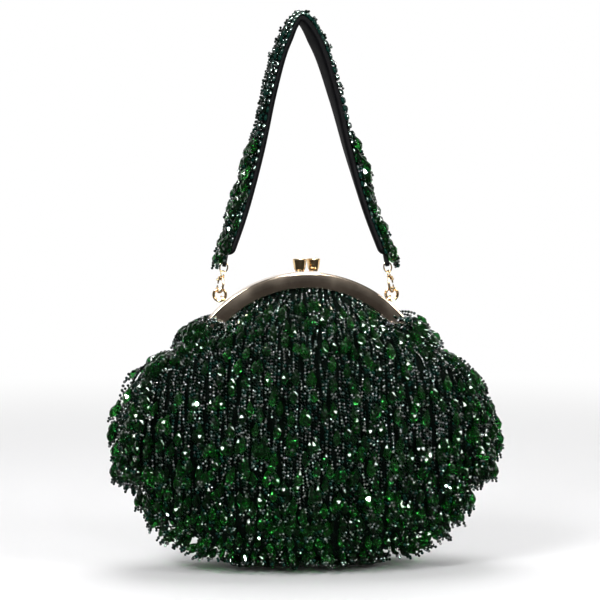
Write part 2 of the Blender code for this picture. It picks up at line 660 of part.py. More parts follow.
def add_strap_drops(name, hand):
    """The clustered drops that hang on the outer side of the strap's lower part."""
    total = 2 * STRAP_STEPS
    first = round(STRAP_DROP_START_SHARE * total)
    last = round(STRAP_DROP_END_SHARE * total)
    inner = 2 * FIT_GAP + STRAP_BEAD_THICK
    low, span = STRAP_DROP_SWELL_SHARES
    bulge, bulge_rise, crown = STRAP_DROP_SECTION_SHARES
    rings = []
    for step in range(first, last + 1):
        index = step if hand < 0 else total - step
        share = (step - first) / (last - first)
        phase = low + span * (1 - share) ** STRAP_DROP_SWELL_POWER
        swell = math.sin(math.pi * phase) ** STRAP_DROP_SWELL_POWER
        rib = 1 + STRAP_DROP_RIB_SHARE * (-1) ** step / 2
        deep = inner + TIER_TOP_THICK / 2 + STRAP_DROP_DEPTH * swell * rib
        wide = STRAP_DROP_WIDTH / 2
        across, out = strap_axes(index)[1:]
        bulge_deep = inner + (deep - inner) * bulge_rise
        corners = ((-wide, inner), (wide, inner), (wide * bulge, bulge_deep), (wide * crown, deep),
                   (-wide * crown, deep), (-wide * bulge, bulge_deep))
        rings.append([STRAP_PATH[index] + across * side + out * far for side, far in corners])
    return add_piece(name, rings, DROPS, HANDLE_AXIS)


for hand, word in ((-1, "left"), (1, "right")):
    add_strap_tab(f"{word}_strap_tab", CHAINS[hand])
    add_strap_drops(f"{word}_strap_drops", hand)


# Pouch surface: turn goes once round from the front's middle, drop from the mouth (0) to the join (1),
# the flat bottom (2), and below zero up into the frame's channel

def mouth_point(part, tuck):
    """A point on the front half's mouth line; part is 0 in the middle and 1 at the side seam."""
    channel_y = (FRAME_DEPTH + FIT_GAP / 2) / 2
    radius = FRAME_RADIUS - FRAME_BAND - MOUTH_DROP
    if part <= MOUTH_SHARE:
        angle = math.radians(MOUTH_END_DEG) * part / MOUTH_SHARE
        return arc_point(angle, radius + tuck * FRAME_BAND * TUCK_SHARE, -channel_y)
    share = (part - MOUTH_SHARE) / (1 - MOUTH_SHARE)
    start = arc_point(math.radians(MOUTH_END_DEG), radius, -channel_y)
    side = Vector((POUCH_SIDE_X, 0.0, POUCH_SIDE_Z))
    turn = share * math.pi / 2
    point = Vector((start.x + (side.x - start.x) * math.sin(turn), start.y * math.cos(turn),
                    start.z + (side.z - start.z) * math.sin(turn) ** MOUTH_FALL_SHARE))
    out = arc_point(math.radians(MOUTH_END_DEG), 1.0, 0.0) - arc_point(0.0, 0.0, 0.0)
    return point + out * (tuck * FRAME_BAND * TUCK_SHARE * (1 - share)) + UP * (tuck * SIDE_TUCK * share)


def bowl_point(part, latitude):
    """A point on the oval bowl; latitude is measured up from the widest line."""
    rise = POUCH_UPPER_RISE if latitude > 0 else POUCH_LOWER_RISE
    level = math.cos(latitude)
    swing = part * math.pi / 2
    return Vector((POUCH_HALF_WIDTH * level * math.sin(swing), -POUCH_HALF_DEPTH * level * math.cos(swing),
                   POUCH_WIDEST_Z + rise * math.sin(latitude)))


JOIN_LATITUDE = math.asin((POUCH_JOIN_Z - POUCH_WIDEST_Z) / POUCH_UPPER_RISE)
BOTTOM_LATITUDE = -math.asin((POUCH_WIDEST_Z - POUCH_BOTTOM_Z) / POUCH_LOWER_RISE)


def quarter_point(part, drop):
    """A point on the front right quarter of the ground fabric."""
    if drop >= 1.0:
        return bowl_point(part, JOIN_LATITUDE + (BOTTOM_LATITUDE - JOIN_LATITUDE) * (drop - 1.0))
    if drop <= 0.0:
        return mouth_point(part, min(-drop, 1.0))
    top = mouth_point(part, 0.0)
    foot = bowl_point(part, JOIN_LATITUDE)
    sideways = part ** SIDE_POWER
    swing = math.sin(math.pi / 2 * drop)
    spread = swing ** (SPREAD_POWER - SPREAD_SIDE_DROP * sideways)
    forward = swing ** FORWARD_POWER
    fall = (1 - sideways) * drop + sideways * (1 - math.cos(math.pi / 2 * drop))
    puff = SIDE_PUFF * part ** PUFF_PART_POWER * math.sin(math.pi * drop ** PUFF_DROP_POWER) ** 2
    return Vector((top.x + (foot.x - top.x) * spread, top.y + (foot.y - top.y) * forward,
                   top.z + (foot.z - top.z) * fall + puff))


def pouch_point(turn, drop):
    """A point on the ground fabric; turn is 0 at the front's middle, 0.25 at the right, 0.5 behind."""
    turn = turn % 1.0
    quarter = turn * 4
    part = (quarter, 2 - quarter, quarter - 2, 4 - quarter)[min(int(quarter), 3)]
    point = quarter_point(max(part, 0.0), drop)
    point.x *= 1 if turn <= 0.5 else -1
    point.y *= 1 if turn <= 0.25 or turn >= 0.75 else -1
    return point


def skin_point(turn, drop, lift):
    """A point at a distance outside the ground fabric's middle surface."""
    step = NORMAL_STEP_SHARE
    around = pouch_point(turn + step, drop) - pouch_point(turn - step, drop)
    down = pouch_point(turn, drop + step) - pouch_point(turn, drop - step)
    outward = down.cross(around).normalized()
    return pouch_point(turn, drop) + outward * lift


def turn_list(middle, reach, steps):
    """Turns across a panel on the front (middle 0) or the back (middle 0.5)."""
    return [middle + reach * (2 * step / steps - 1) for step in range(steps + 1)]


def keep_to_side(rings, middle):
    """Keeps a front or rear piece on its own side of the seam plane."""
    side = -1 if middle == 0.0 else 1
    for ring in rings:
        for point in ring:
            point.y = side * max(side * point.y, FIT_GAP)
    return rings


def add_panel(name, middle, drops, inner, outer, material):
    """One upper panel of cloth, from the frame down to the join."""
    reach = QUARTER - SEAM_GAP
    rings = []
    for turn in turn_list(middle, reach, TIER_TURNS // 2):
        down = [skin_point(turn, drop, inner) for drop in drops]
        up = [skin_point(turn, drop, outer) for drop in reversed(drops)]
        rings.append(down + up)
    return add_piece(name, keep_to_side(rings, middle), material)


def add_bowl(name, drops, inner, outer, floor_z, material):
    """A bowl of cloth: walls between two distances from the middle surface, and a flat bottom."""
    steps = TIER_TURNS
    outside = [[skin_point(step / steps, drop, outer) for step in range(steps)] for drop in drops]
    inside = [[skin_point(step / steps, drop, inner) for step in range(steps)] for drop in reversed(drops)]
    for point in outside[-1]:
        point.z = floor_z
    for point in inside[0]:
        point.z = floor_z + (outer - inner)
    return add_piece(name, outside[::-1] + inside[::-1], material)


LINING_OUT = -FABRIC_HALF - FIT_GAP
LINING_IN = LINING_OUT - LINING_THICK
for side_name, middle in (("front", 0.0), ("rear", 0.5)):
    add_panel(f"{side_name}_upper_fabric", middle, PANEL_DROPS, -FABRIC_HALF, FABRIC_HALF, GROUND)
    add_panel(f"{side_name}_upper_lining", middle, PANEL_DROPS, LINING_IN, LINING_OUT, SATIN)
add_bowl("pouch_shell", BOWL_DROPS, -FABRIC_HALF, FABRIC_HALF, POUCH_BOTTOM_Z, GROUND)
lining_floor = POUCH_BOTTOM_Z + 2 * FABRIC_HALF + FIT_GAP
add_bowl("pouch_lining", BOWL_DROPS, LINING_IN, LINING_OUT, lining_floor, SATIN)


# Fringe tiers

def add_tier(name, turns, top, last, middle=None, rise=0.0):
    """One tier of hanging strands: thin where it is sewn on, thick and scalloped at its hem."""
    rings = []
    seat = FABRIC_HALF + FIT_GAP
    for index, turn in enumerate(turns):
        rib = (-1) ** index
        part = 1 - abs(turn % 0.5 * 4 - 1)
        first = top + rise * part ** 2
        hem = last + (last - first) * TIER_SCALLOP_SHARE * rib / 2
        drops = [first + (hem - first) * share for share in TIER_SHARES]
        inner = [seat + (TIER_HEM_LIFT - seat) * share for share in TIER_SHARES]
        swell = (TIER_HEM_THICK - TIER_TOP_THICK) * (1 + TIER_RIB_SHARE * rib)
        outer = [TIER_TOP_THICK + swell * share ** TIER_SWELL_POWER for share in TIER_SHARES]
        down = [skin_point(turn, drop, lift) for drop, lift in zip(drops, inner)]
        up = [skin_point(turn, drop, lift) for drop, lift in zip(reversed(drops), reversed(outer))]
        rings.append(down + up)
    if middle is None:
        return add_piece(name, rings, BEADS, closed=True)
    return add_piece(name, keep_to_side(rings, middle), BEADS)


full_turns = [step / TIER_TURNS for step in range(TIER_TURNS)]
for number, (first, last) in enumerate(LOWER_TIER_DROPS, start=1):
    add_tier(f"lower_fringe_{number}", full_turns, first, last)
for side_name, middle in (("front", 0.0), ("rear", 0.5)):
    for number, (first, last) in enumerate(UPPER_TIER_DROPS, start=1):
        reach = QUARTER * TOP_TIER_REACH if number == 1 else QUARTER - SEAM_GAP
        rise = TOP_TIER_FALL if number == 1 else 0.0
        turns = turn_list(middle, reach, TIER_TURNS // 2)
        add_tier(f"{side_name}_fringe_{number}", turns, first, last, middle, rise)


def add_base_fringe():
    """The short strands under the pouch, whose ends the bag stands on."""
    rings = []
    top = POUCH_BOTTOM_Z - FIT_GAP
    for z, spread in ((0.0, 0.0), (top / 2, BASE_FLARE / 2), (top, 0.0)):
        ring = []
        for step in range(TIER_TURNS):
            turn = math.tau * step / TIER_TURNS
            rib = BASE_FLARE * TIER_RIB_SHARE * (-1) ** step
            ring.append(Vector(((BASE_HALF_WIDTH + spread + rib) * math.sin(turn),
                                -(BASE_HALF_DEPTH + spread + rib) * math.cos(turn), z)))
        rings.append(ring)
    return add_piece("base_fringe", rings, BEADS)


add_base_fringe()
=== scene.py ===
"""Beaded evening pouch on an arched metal frame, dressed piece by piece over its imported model."""
import math
import bmesh
import bpy
import numpy as np
from mathutils import Matrix, Vector


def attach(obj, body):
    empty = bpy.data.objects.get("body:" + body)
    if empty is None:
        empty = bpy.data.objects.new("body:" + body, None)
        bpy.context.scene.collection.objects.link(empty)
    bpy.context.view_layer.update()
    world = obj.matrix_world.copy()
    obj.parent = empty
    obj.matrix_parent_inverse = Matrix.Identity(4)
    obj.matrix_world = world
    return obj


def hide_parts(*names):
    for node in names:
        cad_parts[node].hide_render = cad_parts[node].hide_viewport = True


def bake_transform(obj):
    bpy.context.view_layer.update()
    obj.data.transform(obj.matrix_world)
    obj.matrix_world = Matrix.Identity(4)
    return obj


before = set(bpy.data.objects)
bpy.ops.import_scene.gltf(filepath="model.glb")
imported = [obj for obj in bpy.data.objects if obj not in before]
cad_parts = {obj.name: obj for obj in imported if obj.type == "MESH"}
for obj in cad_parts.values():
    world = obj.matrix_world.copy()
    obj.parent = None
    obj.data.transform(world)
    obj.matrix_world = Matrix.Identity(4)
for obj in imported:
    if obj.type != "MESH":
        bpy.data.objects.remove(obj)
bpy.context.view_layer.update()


# Studio: a pale floor, a white surround that is dark on the camera's side, and soft lamps.
# The dark side is what the flat polished face of the frame mirrors in the photograph.
# The camera stands a little left of the middle and a little above, as the photograph does.

studio = bpy.context.scene
studio.view_settings.view_transform = "Standard"

PAPER_WHITE = (1.0, 1.0, 1.0, 1.0)
FLOOR_SIZE = 6.0
LAMPS = (("key_box", (-0.75, -0.95, 1.05), 0.42, 17.0), ("fill_box", (0.95, -0.80, 0.75), 0.40, 9.0),
         ("front_spark", (0.12, -1.35, 0.62), 0.12, 230.0), ("top_box", (0.0, 0.25, 1.25), 0.8, 12.0))
LAMP_AIM = Vector((0.0, 0.0, 0.13))
VIEW_TARGET = Vector((-0.0042, 0.0, 0.1735))
VIEW_AZIMUTH = math.radians(-5.0)
VIEW_HEIGHT = math.radians(3.0)
VIEW_DISTANCE = 1.2
VIEW_WIDTH = 0.387
FILM_WIDTH = 36.0


def feed(net, node, inputs):
    """Joins each input of a node to an outlet or to another node's first outlet, or gives it a value."""
    for socket, source in inputs.items():
        if isinstance(source, bpy.types.Node):
            source = source.outputs[0]
        if isinstance(source, bpy.types.NodeSocket):
            net.links.new(source, node.inputs[socket])
        else:
            node.inputs[socket].default_value = source
    return node


def wired(net, kind, inputs, **settings):
    """Adds a shader node, with its settings made and its inputs fed."""
    node = net.nodes.new(kind)
    for setting, value in settings.items():
        setattr(node, setting, value)
    return feed(net, node, inputs)


def graded(net, source, low, high, to_low=0.0, to_high=1.0, slope="LINEAR"):
    """Spreads a source's range from low to high over the range from to_low to to_high."""
    ends = {"From Min": low, "From Max": high, "To Min": to_low, "To Max": to_high}
    return wired(net, "ShaderNodeMapRange", {"Value": source, **ends}, interpolation_type=slope)


def new_finish(name, plain):
    """A new material, its net and its main shader, whose plain inputs are set."""
    finish = bpy.data.materials.new(name)
    finish.use_nodes = True
    net = finish.node_tree
    return finish, net, feed(net, net.nodes["Principled BSDF"], plain)


def seen_in_polish(net):
    """1 for what polish or glass shows, and 0 for the rest."""
    rays = wired(net, "ShaderNodeLightPath", {}).outputs
    return wired(net, "ShaderNodeMath", {0: rays["Is Glossy Ray"], 1: rays["Is Transmission Ray"]},
                 operation="MAXIMUM")


world = bpy.data.worlds.new("white_surround")
studio.world = world
world.use_nodes = True
surround = world.node_tree
surround.nodes.clear()
sky_place = wired(surround, "ShaderNodeTexCoord", {}).outputs["Generated"]
way_out = wired(surround, "ShaderNodeSeparateXYZ", {0: sky_place})
dark_side = graded(surround, way_out.outputs["Y"], 0.0, 0.55, 0.055, 1.0)
faint_sky = graded(surround, way_out.outputs["Z"], 0.15, 0.85, 0.0, 0.07)
glow = wired(surround, "ShaderNodeMath", {0: dark_side, 1: faint_sky}, operation="MAXIMUM")
mirrored = wired(surround, "ShaderNodeBackground", {"Color": PAPER_WHITE, "Strength": glow})
lighting = wired(surround, "ShaderNodeBackground", {"Color": (1.0, 0.99, 0.97, 1.0), "Strength": 0.42})
backdrop = wired(surround, "ShaderNodeBackground", {"Color": PAPER_WHITE})
unseen = wired(surround, "ShaderNodeMixShader", {0: seen_in_polish(surround), 1: lighting, 2: mirrored})
camera_rays = wired(surround, "ShaderNodeLightPath", {}).outputs["Is Camera Ray"]
whole_surround = wired(surround, "ShaderNodeMixShader", {0: camera_rays, 1: unseen, 2: backdrop})
wired(surround, "ShaderNodeOutputWorld", {"Surface": whole_surround})

# The floor's paper fades to white far off, and is dim where the front of the metal mirrors it.
bpy.ops.mesh.primitive_plane_add(size=FLOOR_SIZE, location=(0.0, 0.0, 0.0))
floor = bpy.context.object
floor.name = "studio_floor"
paper, paper_net, paper_shader = new_finish("floor_paper", {"Roughness": 0.75, "Specular IOR Level": 0.2})
feed(paper_net, paper_shader, {"Base Color": (0.64, 0.64, 0.65, 1.0)})
floor_place = wired(paper_net, "ShaderNodeTexCoord", {}).outputs["Object"]
reach = wired(paper_net, "ShaderNodeVectorMath", {0: floor_place}, operation="LENGTH").outputs["Value"]
far_white = wired(paper_net, "ShaderNodeEmission", {"Color": PAPER_WHITE})
far_share = graded(paper_net, reach, 0.18, 1.4, slope="SMOOTHSTEP")
far_fade = wired(paper_net, "ShaderNodeMixShader", {0: far_share, 1: paper_shader, 2: far_white})
floor_depth = wired(paper_net, "ShaderNodeSeparateXYZ", {0: floor_place}).outputs["Y"]
near_share = graded(paper_net, floor_depth, 0.16, 0.02, slope="SMOOTHSTEP")
dimmed = wired(paper_net, "ShaderNodeMath", {0: seen_in_polish(paper_net), 1: near_share},
               operation="MULTIPLY")
dim_paper = wired(paper_net, "ShaderNodeEmission", {"Color": (0.045, 0.042, 0.040, 1.0)})
whole_floor = wired(paper_net, "ShaderNodeMixShader", {0: dimmed, 1: far_fade, 2: dim_paper})
feed(paper_net, paper_net.nodes["Material Output"], {"Surface": whole_floor})
floor.data.materials.append(paper)

for lamp_name, lamp_place, lamp_size, lamp_power in LAMPS:
    bpy.ops.object.light_add(type="AREA", location=lamp_place)
    lamp = bpy.context.object
    lamp.name = lamp_name
    lamp.data.shape = "SQUARE"
    lamp.data.size = lamp_size
    lamp.data.energy = lamp_power
    lamp.visible_diffuse = lamp_name != "front_spark"
    lamp.visible_glossy = lamp_name != "top_box"
    lamp.visible_transmission = lamp_name != "top_box"
    lamp.rotation_euler = (Vector(lamp_place) - LAMP_AIM).to_track_quat("Z", "Y").to_euler()

bpy.ops.object.camera_add()
camera = bpy.context.object
camera.name = "studio_camera"
camera.location = VIEW_TARGET + VIEW_DISTANCE * Vector((math.sin(VIEW_AZIMUTH) * math.cos(VIEW_HEIGHT),
                                                        -math.cos(VIEW_AZIMUTH) * math.cos(VIEW_HEIGHT),
                                                        math.sin(VIEW_HEIGHT)))
camera.rotation_euler = (camera.location - VIEW_TARGET).to_track_quat("Z", "Y").to_euler()
camera.data.sensor_width = FILM_WIDTH
camera.data.lens = FILM_WIDTH * VIEW_DISTANCE / VIEW_WIDTH
camera.data.clip_start = 0.01
camera.data.dof.use_dof = False
studio.camera = camera


# Frame halves: two arches of pressed brass channel, polished and plated pale gold, that close face to face.
# Each is a flat outer face 10 mm deep with a small rounded shoulder, a thin inner flange and a rolled lower
# lip. The cloth's edge is glued into the channel from below under a twisted paper cord.

ARCH_RADIUS = 0.083
ARCH_CENTRE = Vector((0.0, 0.0, 0.1087))
ARCH_BAND = 0.010
ARCH_DEPTH = 0.008
ARCH_HALF_ANGLE = math.radians(60.0)
MEETING_GAP = 0.00015
SHEET = 0.0012
SHOULDER = 0.0005
SHOULDER_STEPS = 6
LIP_BACK = 0.0004
WELD = 1e-6


def put_down_all():
    """Leaves nothing selected, so that the next operator works on the new piece alone."""
    if bpy.context.object and bpy.context.object.mode != "OBJECT":
        bpy.ops.object.mode_set(mode="OBJECT")
    bpy.ops.object.select_all(action="DESELECT")


def drawn_line(points):
    """A line of edges through the points, left in edit mode and ready to be spun."""
    put_down_all()
    bpy.ops.mesh.primitive_plane_add(size=1.0)
    line = bpy.context.object
    bpy.ops.object.mode_set(mode="EDIT")
    bpy.ops.mesh.delete(type="VERT")
    bpy.ops.object.mode_set(mode="OBJECT")
    line.data.from_pydata(points, [(i, i + 1) for i in range(len(points) - 1)], [])
    bpy.ops.object.mode_set(mode="EDIT")
    bpy.ops.mesh.select_all(action="SELECT")
    return line


def given_wall(sheet, thick):
    """Gives a sheet its thickness, half to each side."""
    wall = sheet.modifiers.new("wall", "SOLIDIFY")
    wall.thickness = thick
    wall.offset = 0.0
    bpy.ops.object.modifier_apply(modifier="wall")


def broken_edges(piece, width, least_angle):
    """Takes the sharpness off every edge that turns by more than the least angle."""
    edge = piece.modifiers.new("broken_edges", "BEVEL")
    edge.width = width
    edge.segments = 2
    edge.limit_method = "ANGLE"
    edge.angle_limit = math.radians(least_angle)
    bpy.ops.object.modifier_apply(modifier="broken_edges")


def settle(piece, name, finish, smooth_angle):
    """Names a piece, puts its place into its mesh, faces it outwards and gives it its finish."""
    put_down_all()
    piece.select_set(True)
    bpy.context.view_layer.objects.active = piece
    piece.name = name
    bpy.ops.object.transform_apply(location=True, rotation=True, scale=True)
    bpy.ops.object.mode_set(mode="EDIT")
    bpy.ops.mesh.select_all(action="SELECT")
    bpy.ops.mesh.remove_doubles(threshold=WELD)
    bpy.ops.mesh.normals_make_consistent(inside=False)
    bpy.ops.object.mode_set(mode="OBJECT")
    bpy.ops.object.shade_smooth_by_angle(angle=math.radians(smooth_angle))
    piece.data.materials.clear()
    piece.data.materials.append(finish)
    return piece


def refinish(node_names, finish):
    """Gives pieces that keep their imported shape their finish."""
    for node_name in node_names:
        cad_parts[node_name].data.materials.clear()
        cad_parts[node_name].data.materials.append(finish)


def arch_point(angle, radius, y):
    return ARCH_CENTRE + Vector((radius * math.sin(angle), y, radius * math.cos(angle)))


def toned(net, shader, mask, dark, light):
    """Colours a finish from dark to light along the mask."""
    tone = wired(net, "ShaderNodeMix", {"Factor": mask}, data_type="RGBA")
    feed(net, tone, {"A": (*dark, 1.0), "B": (*light, 1.0)})
    feed(net, shader, {"Base Color": tone.outputs["Result"]})


def embossed(net, shader, height, strength, distance):
    """Lets a finish catch the light as if its surface rose by the height."""
    bump = wired(net, "ShaderNodeBump", {"Strength": strength, "Distance": distance, "Height": height})
    feed(net, shader, {"Normal": bump})


def handling_marks():
    """Node group: soft smudges and fine hairlines, as a mask for polish and a height for bump."""
    group = bpy.data.node_groups.new("handling_marks", "ShaderNodeTree")
    for socket, flow in (("Smudge Scale", "INPUT"), ("Hairline Scale", "INPUT"), ("Smudge", "OUTPUT"),
                         ("Height", "OUTPUT")):
        group.interface.new_socket(socket, in_out=flow, socket_type="NodeSocketFloat")
    start = group.nodes.new("NodeGroupInput")
    end = group.nodes.new("NodeGroupOutput")
    place = wired(group, "ShaderNodeTexCoord", {}).outputs["Object"]
    smudge = wired(group, "ShaderNodeTexNoise", {"Vector": place, "Scale": start.outputs["Smudge Scale"],
                                                 "Detail": 4.0})
    stretch = wired(group, "ShaderNodeMapping", {"Vector": place, "Scale": (0.15, 1.0, 1.0)})
    hair = wired(group, "ShaderNodeTexNoise", {"Vector": stretch, "Scale": start.outputs["Hairline Scale"],
                                               "Detail": 2.0})
    feed(group, end, {"Smudge": smudge.outputs["Fac"], "Height": hair.outputs["Fac"]})
    return group


MARKS = handling_marks()


def plated_metal(name, dark, bright, polish, smudge_scale, hairline):
    """Polished plating: colour and roughness drift with the smudges, hairlines catch the light."""
    metal, net, shader = new_finish(name, {"Metallic": 1.0})
    marks = net.nodes.new("ShaderNodeGroup")
    marks.node_tree = MARKS
    feed(net, marks, {"Smudge Scale": smudge_scale, "Hairline Scale": 900.0})
    toned(net, shader, marks.outputs["Smudge"], dark, bright)
    feed(net, shader, {"Roughness": graded(net, marks.outputs["Smudge"], 0.3, 0.75, polish, polish + 0.035)})
    embossed(net, shader, marks.outputs["Height"], hairline, 0.0001)
    return metal


FRAME_METAL = plated_metal("frame_plating", (0.62, 0.50, 0.39), (0.78, 0.66, 0.52), 0.05, 70.0, 0.03)
FITTING_METAL = plated_metal("fitting_plating", (0.72, 0.52, 0.28), (0.86, 0.66, 0.40), 0.07, 240.0, 0.06)


def arch_half(name, node, body, side):
    """The channel's section as a strip of edges, spun round the arch's centre and given its wall."""
    low = ARCH_RADIUS - ARCH_BAND
    face_y = ARCH_DEPTH - SHEET / 2
    meet_y = MEETING_GAP + SHEET / 2
    rim = ARCH_RADIUS - SHEET / 2
    outline = [(low - 0.0001, face_y - 0.0006), (low + 0.0001, face_y - 0.00025),
               (low + LIP_BACK, face_y - 0.00004), (low + 2 * LIP_BACK, face_y),
               (low + ARCH_BAND / 2, face_y)]
    for step in range(SHOULDER_STEPS + 1):
        turn = math.pi / 2 * step / SHOULDER_STEPS
        outline.append((rim - SHOULDER * (1 - math.sin(turn)), face_y - SHOULDER * (1 - math.cos(turn))))
    outline += [(rim, meet_y + LIP_BACK), (rim - 0.0001, meet_y + 0.0001), (rim - LIP_BACK, meet_y),
                (low + LIP_BACK, meet_y)]
    strip = drawn_line([arch_point(-ARCH_HALF_ANGLE, radius, side * y) for radius, y in outline])
    bpy.ops.mesh.spin(steps=96, dupli=False, angle=2 * ARCH_HALF_ANGLE, center=ARCH_CENTRE,
                      axis=(0.0, -1.0, 0.0))
    bpy.ops.mesh.select_all(action="SELECT")
    bpy.ops.mesh.normals_make_consistent(inside=False)
    bpy.ops.object.mode_set(mode="OBJECT")
    given_wall(strip, SHEET - 2 * MEETING_GAP)
    broken_edges(strip, 0.0002, 50.0)
    settle(strip, name, FRAME_METAL, 40.0)
    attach(strip, body)
    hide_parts(node)


arch_half("front_arch", "front_frame", "front_frame", -1.0)
arch_half("rear_arch", "rear_frame", "bag", 1.0)
refinish(("front_left_hinge_lug", "front_right_hinge_lug", "rear_left_hinge_lug", "rear_right_hinge_lug",
          "left_hinge_rivet", "right_hinge_rivet"), FRAME_METAL)


# Clasp: two turned knobs like little cups that snap past each other, one riveted on the top of each half.
# They are turned from brass bar: a short stem, a flared cup with a soft rim and a shallow hollow in its top.

KNOB_RADIUS = 0.0045
KNOB_GAP = 0.0005
KNOB_STEM = 0.0018
KNOB_HEIGHT = 0.0083
KNOB_SET = 0.0032
RIM_GAP = 0.0003


def turned_knob(name, node, hand, side, body):
    """A profile drawn as a line of edges and spun round the knob's own axis."""
    place = arch_point(0.0, ARCH_RADIUS + RIM_GAP, side * KNOB_SET)
    place.x = hand * (KNOB_RADIUS + KNOB_GAP / 2)
    stem = ((0.0, 0.0), (0.0030, 0.0), (0.0031, 0.0003), (0.0029, 0.0006), (0.0030, 0.0010), (0.0034, 0.0014))
    cup = ((0.0036, KNOB_STEM), (0.0038, 0.0028), (0.0040, 0.0044), (0.0043, 0.0060), (0.00444, 0.0072))
    rim = ((0.0, 0.0007), (0.0001, 0.0002), (0.0005, 0.0), (0.0010, 0.0001), (0.0016, 0.0005),
           (0.0028, 0.0007), (KNOB_RADIUS, 0.0008))
    profile = stem + cup + tuple((KNOB_RADIUS - inwards, KNOB_HEIGHT - below) for inwards, below in rim)
    knob = drawn_line([place + Vector((radius, 0.0, height)) for radius, height in profile])
    bpy.ops.mesh.spin(steps=48, dupli=False, angle=math.tau, center=place, axis=(0.0, 0.0, 1.0))
    bpy.ops.object.mode_set(mode="OBJECT")
    settle(knob, name, FITTING_METAL, 38.0)
    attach(knob, body)
    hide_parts(node)


turned_knob("front_knob", "front_clasp_knob", -1, -1, "front_frame")
turned_knob("rear_knob", "rear_clasp_knob", 1, 1, "bag")


# Handle fittings: on each side a wire staple soldered on the rear half, a ring in it, a lobster claw with a
# sprung gate on a pin, and an oval link up to the strap's tab. Their plating is yellower than the frame's.

STAPLE_ANGLE = math.radians(39.3)
STAPLE_BEND = 0.00125
STAPLE_TOP = 0.0033
STAPLE_WIRE = 0.0007
RING_REACH = 0.0039
RING_WIRE = 0.001
RING_PLACE = arch_point(STAPLE_ANGLE, ARCH_RADIUS + RIM_GAP + RING_WIRE + RING_REACH, 0.0036)
CHAIN_LEAN = math.radians(11.0)
CLAW_TURN = math.radians(55.0)
HOOK_REACH = 0.0028
HOOK_WIRE = 0.00075
LEVER_WIRE = 0.00062
EYE_FAR = 0.0099
EYE_REACH = 0.0018
THIN_WIRE = 0.0005
CHEEK_PLACE = (0.0012, 0.0066)
LINK_TALL = 0.0033
LINK_WIDE = 0.0025
LINK_FOOT = EYE_FAR + EYE_REACH - 2 * THIN_WIRE - 0.00015


def curve_through(points, steps):
    """Points read from a smooth curve through the given ones."""
    ends = [2 * points[0] - points[1]] + list(points) + [2 * points[-1] - points[-2]]
    spans = len(points) - 1
    path = []
    for step in range(steps + 1):
        place = min(step / steps * spans, spans - 1e-9)
        span = int(place)
        t = place - span
        a, b, c, d = ends[span:span + 4]
        path.append(0.5 * (2 * b + (c - a) * t + (2 * a - 5 * b + 4 * c - d) * t ** 2
                           + (3 * b - a - 3 * c + d) * t ** 3))
    return path


def wire(points, thick, closed=False, swell=None):
    """Round wire along the points; swell gives each point's share of the thickness."""
    put_down_all()
    bpy.ops.curve.primitive_nurbs_path_add()
    path = bpy.context.object
    path.data.splines.clear()
    line = path.data.splines.new("POLY")
    line.points.add(len(points) - 1)
    for i, point in enumerate(points):
        line.points[i].co = (*point, 1.0)
        line.points[i].radius = swell[i] if swell else 1.0
    line.use_cyclic_u = closed
    path.data.dimensions = "3D"
    path.data.bevel_depth = thick
    path.data.bevel_resolution = 3
    path.data.use_fill_caps = not closed
    bpy.ops.object.convert(target="MESH")
    return bpy.context.object


def loop_of_wire(centre, across, up, wide, tall, thick, steps):
    """A closed loop of wire round a centre."""
    points = []
    for i in range(steps):
        turn = math.tau * i / steps
        points.append(centre + across * (wide * math.cos(turn)) + up * (tall * math.sin(turn)))
    return wire(points, thick, True)


def rod(start, way, profile):
    """A turned rod from (far, radius) stations, as a wire with its thickness at each station."""
    way = way.normalized()
    thick = max(radius for far, radius in profile)
    return wire([start + way * far for far, radius in profile], thick, False,
                [radius / thick for far, radius in profile])


def brazed(pieces, name, node, body):
    """Brazed parts made one piece, which stands for its node."""
    put_down_all()
    for piece in pieces:
        piece.select_set(True)
    bpy.context.view_layer.objects.active = pieces[0]
    if len(pieces) > 1:
        bpy.ops.object.join()
    whole = bpy.context.object
    settle(whole, name, FITTING_METAL, 42.0)
    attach(whole, body)
    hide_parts(node)


def chain_place(hand):
    """Where one side's chain hangs on its ring, and the ways up the chain and level outwards."""
    hold = Vector((hand * RING_PLACE.x, RING_PLACE.y, RING_PLACE.z + RING_REACH))
    up_chain = Vector((-hand * math.sin(CHAIN_LEAN), 0.0, math.cos(CHAIN_LEAN)))
    return hold, up_chain, Vector((hand * math.cos(CHAIN_LEAN), 0.0, math.sin(CHAIN_LEAN)))


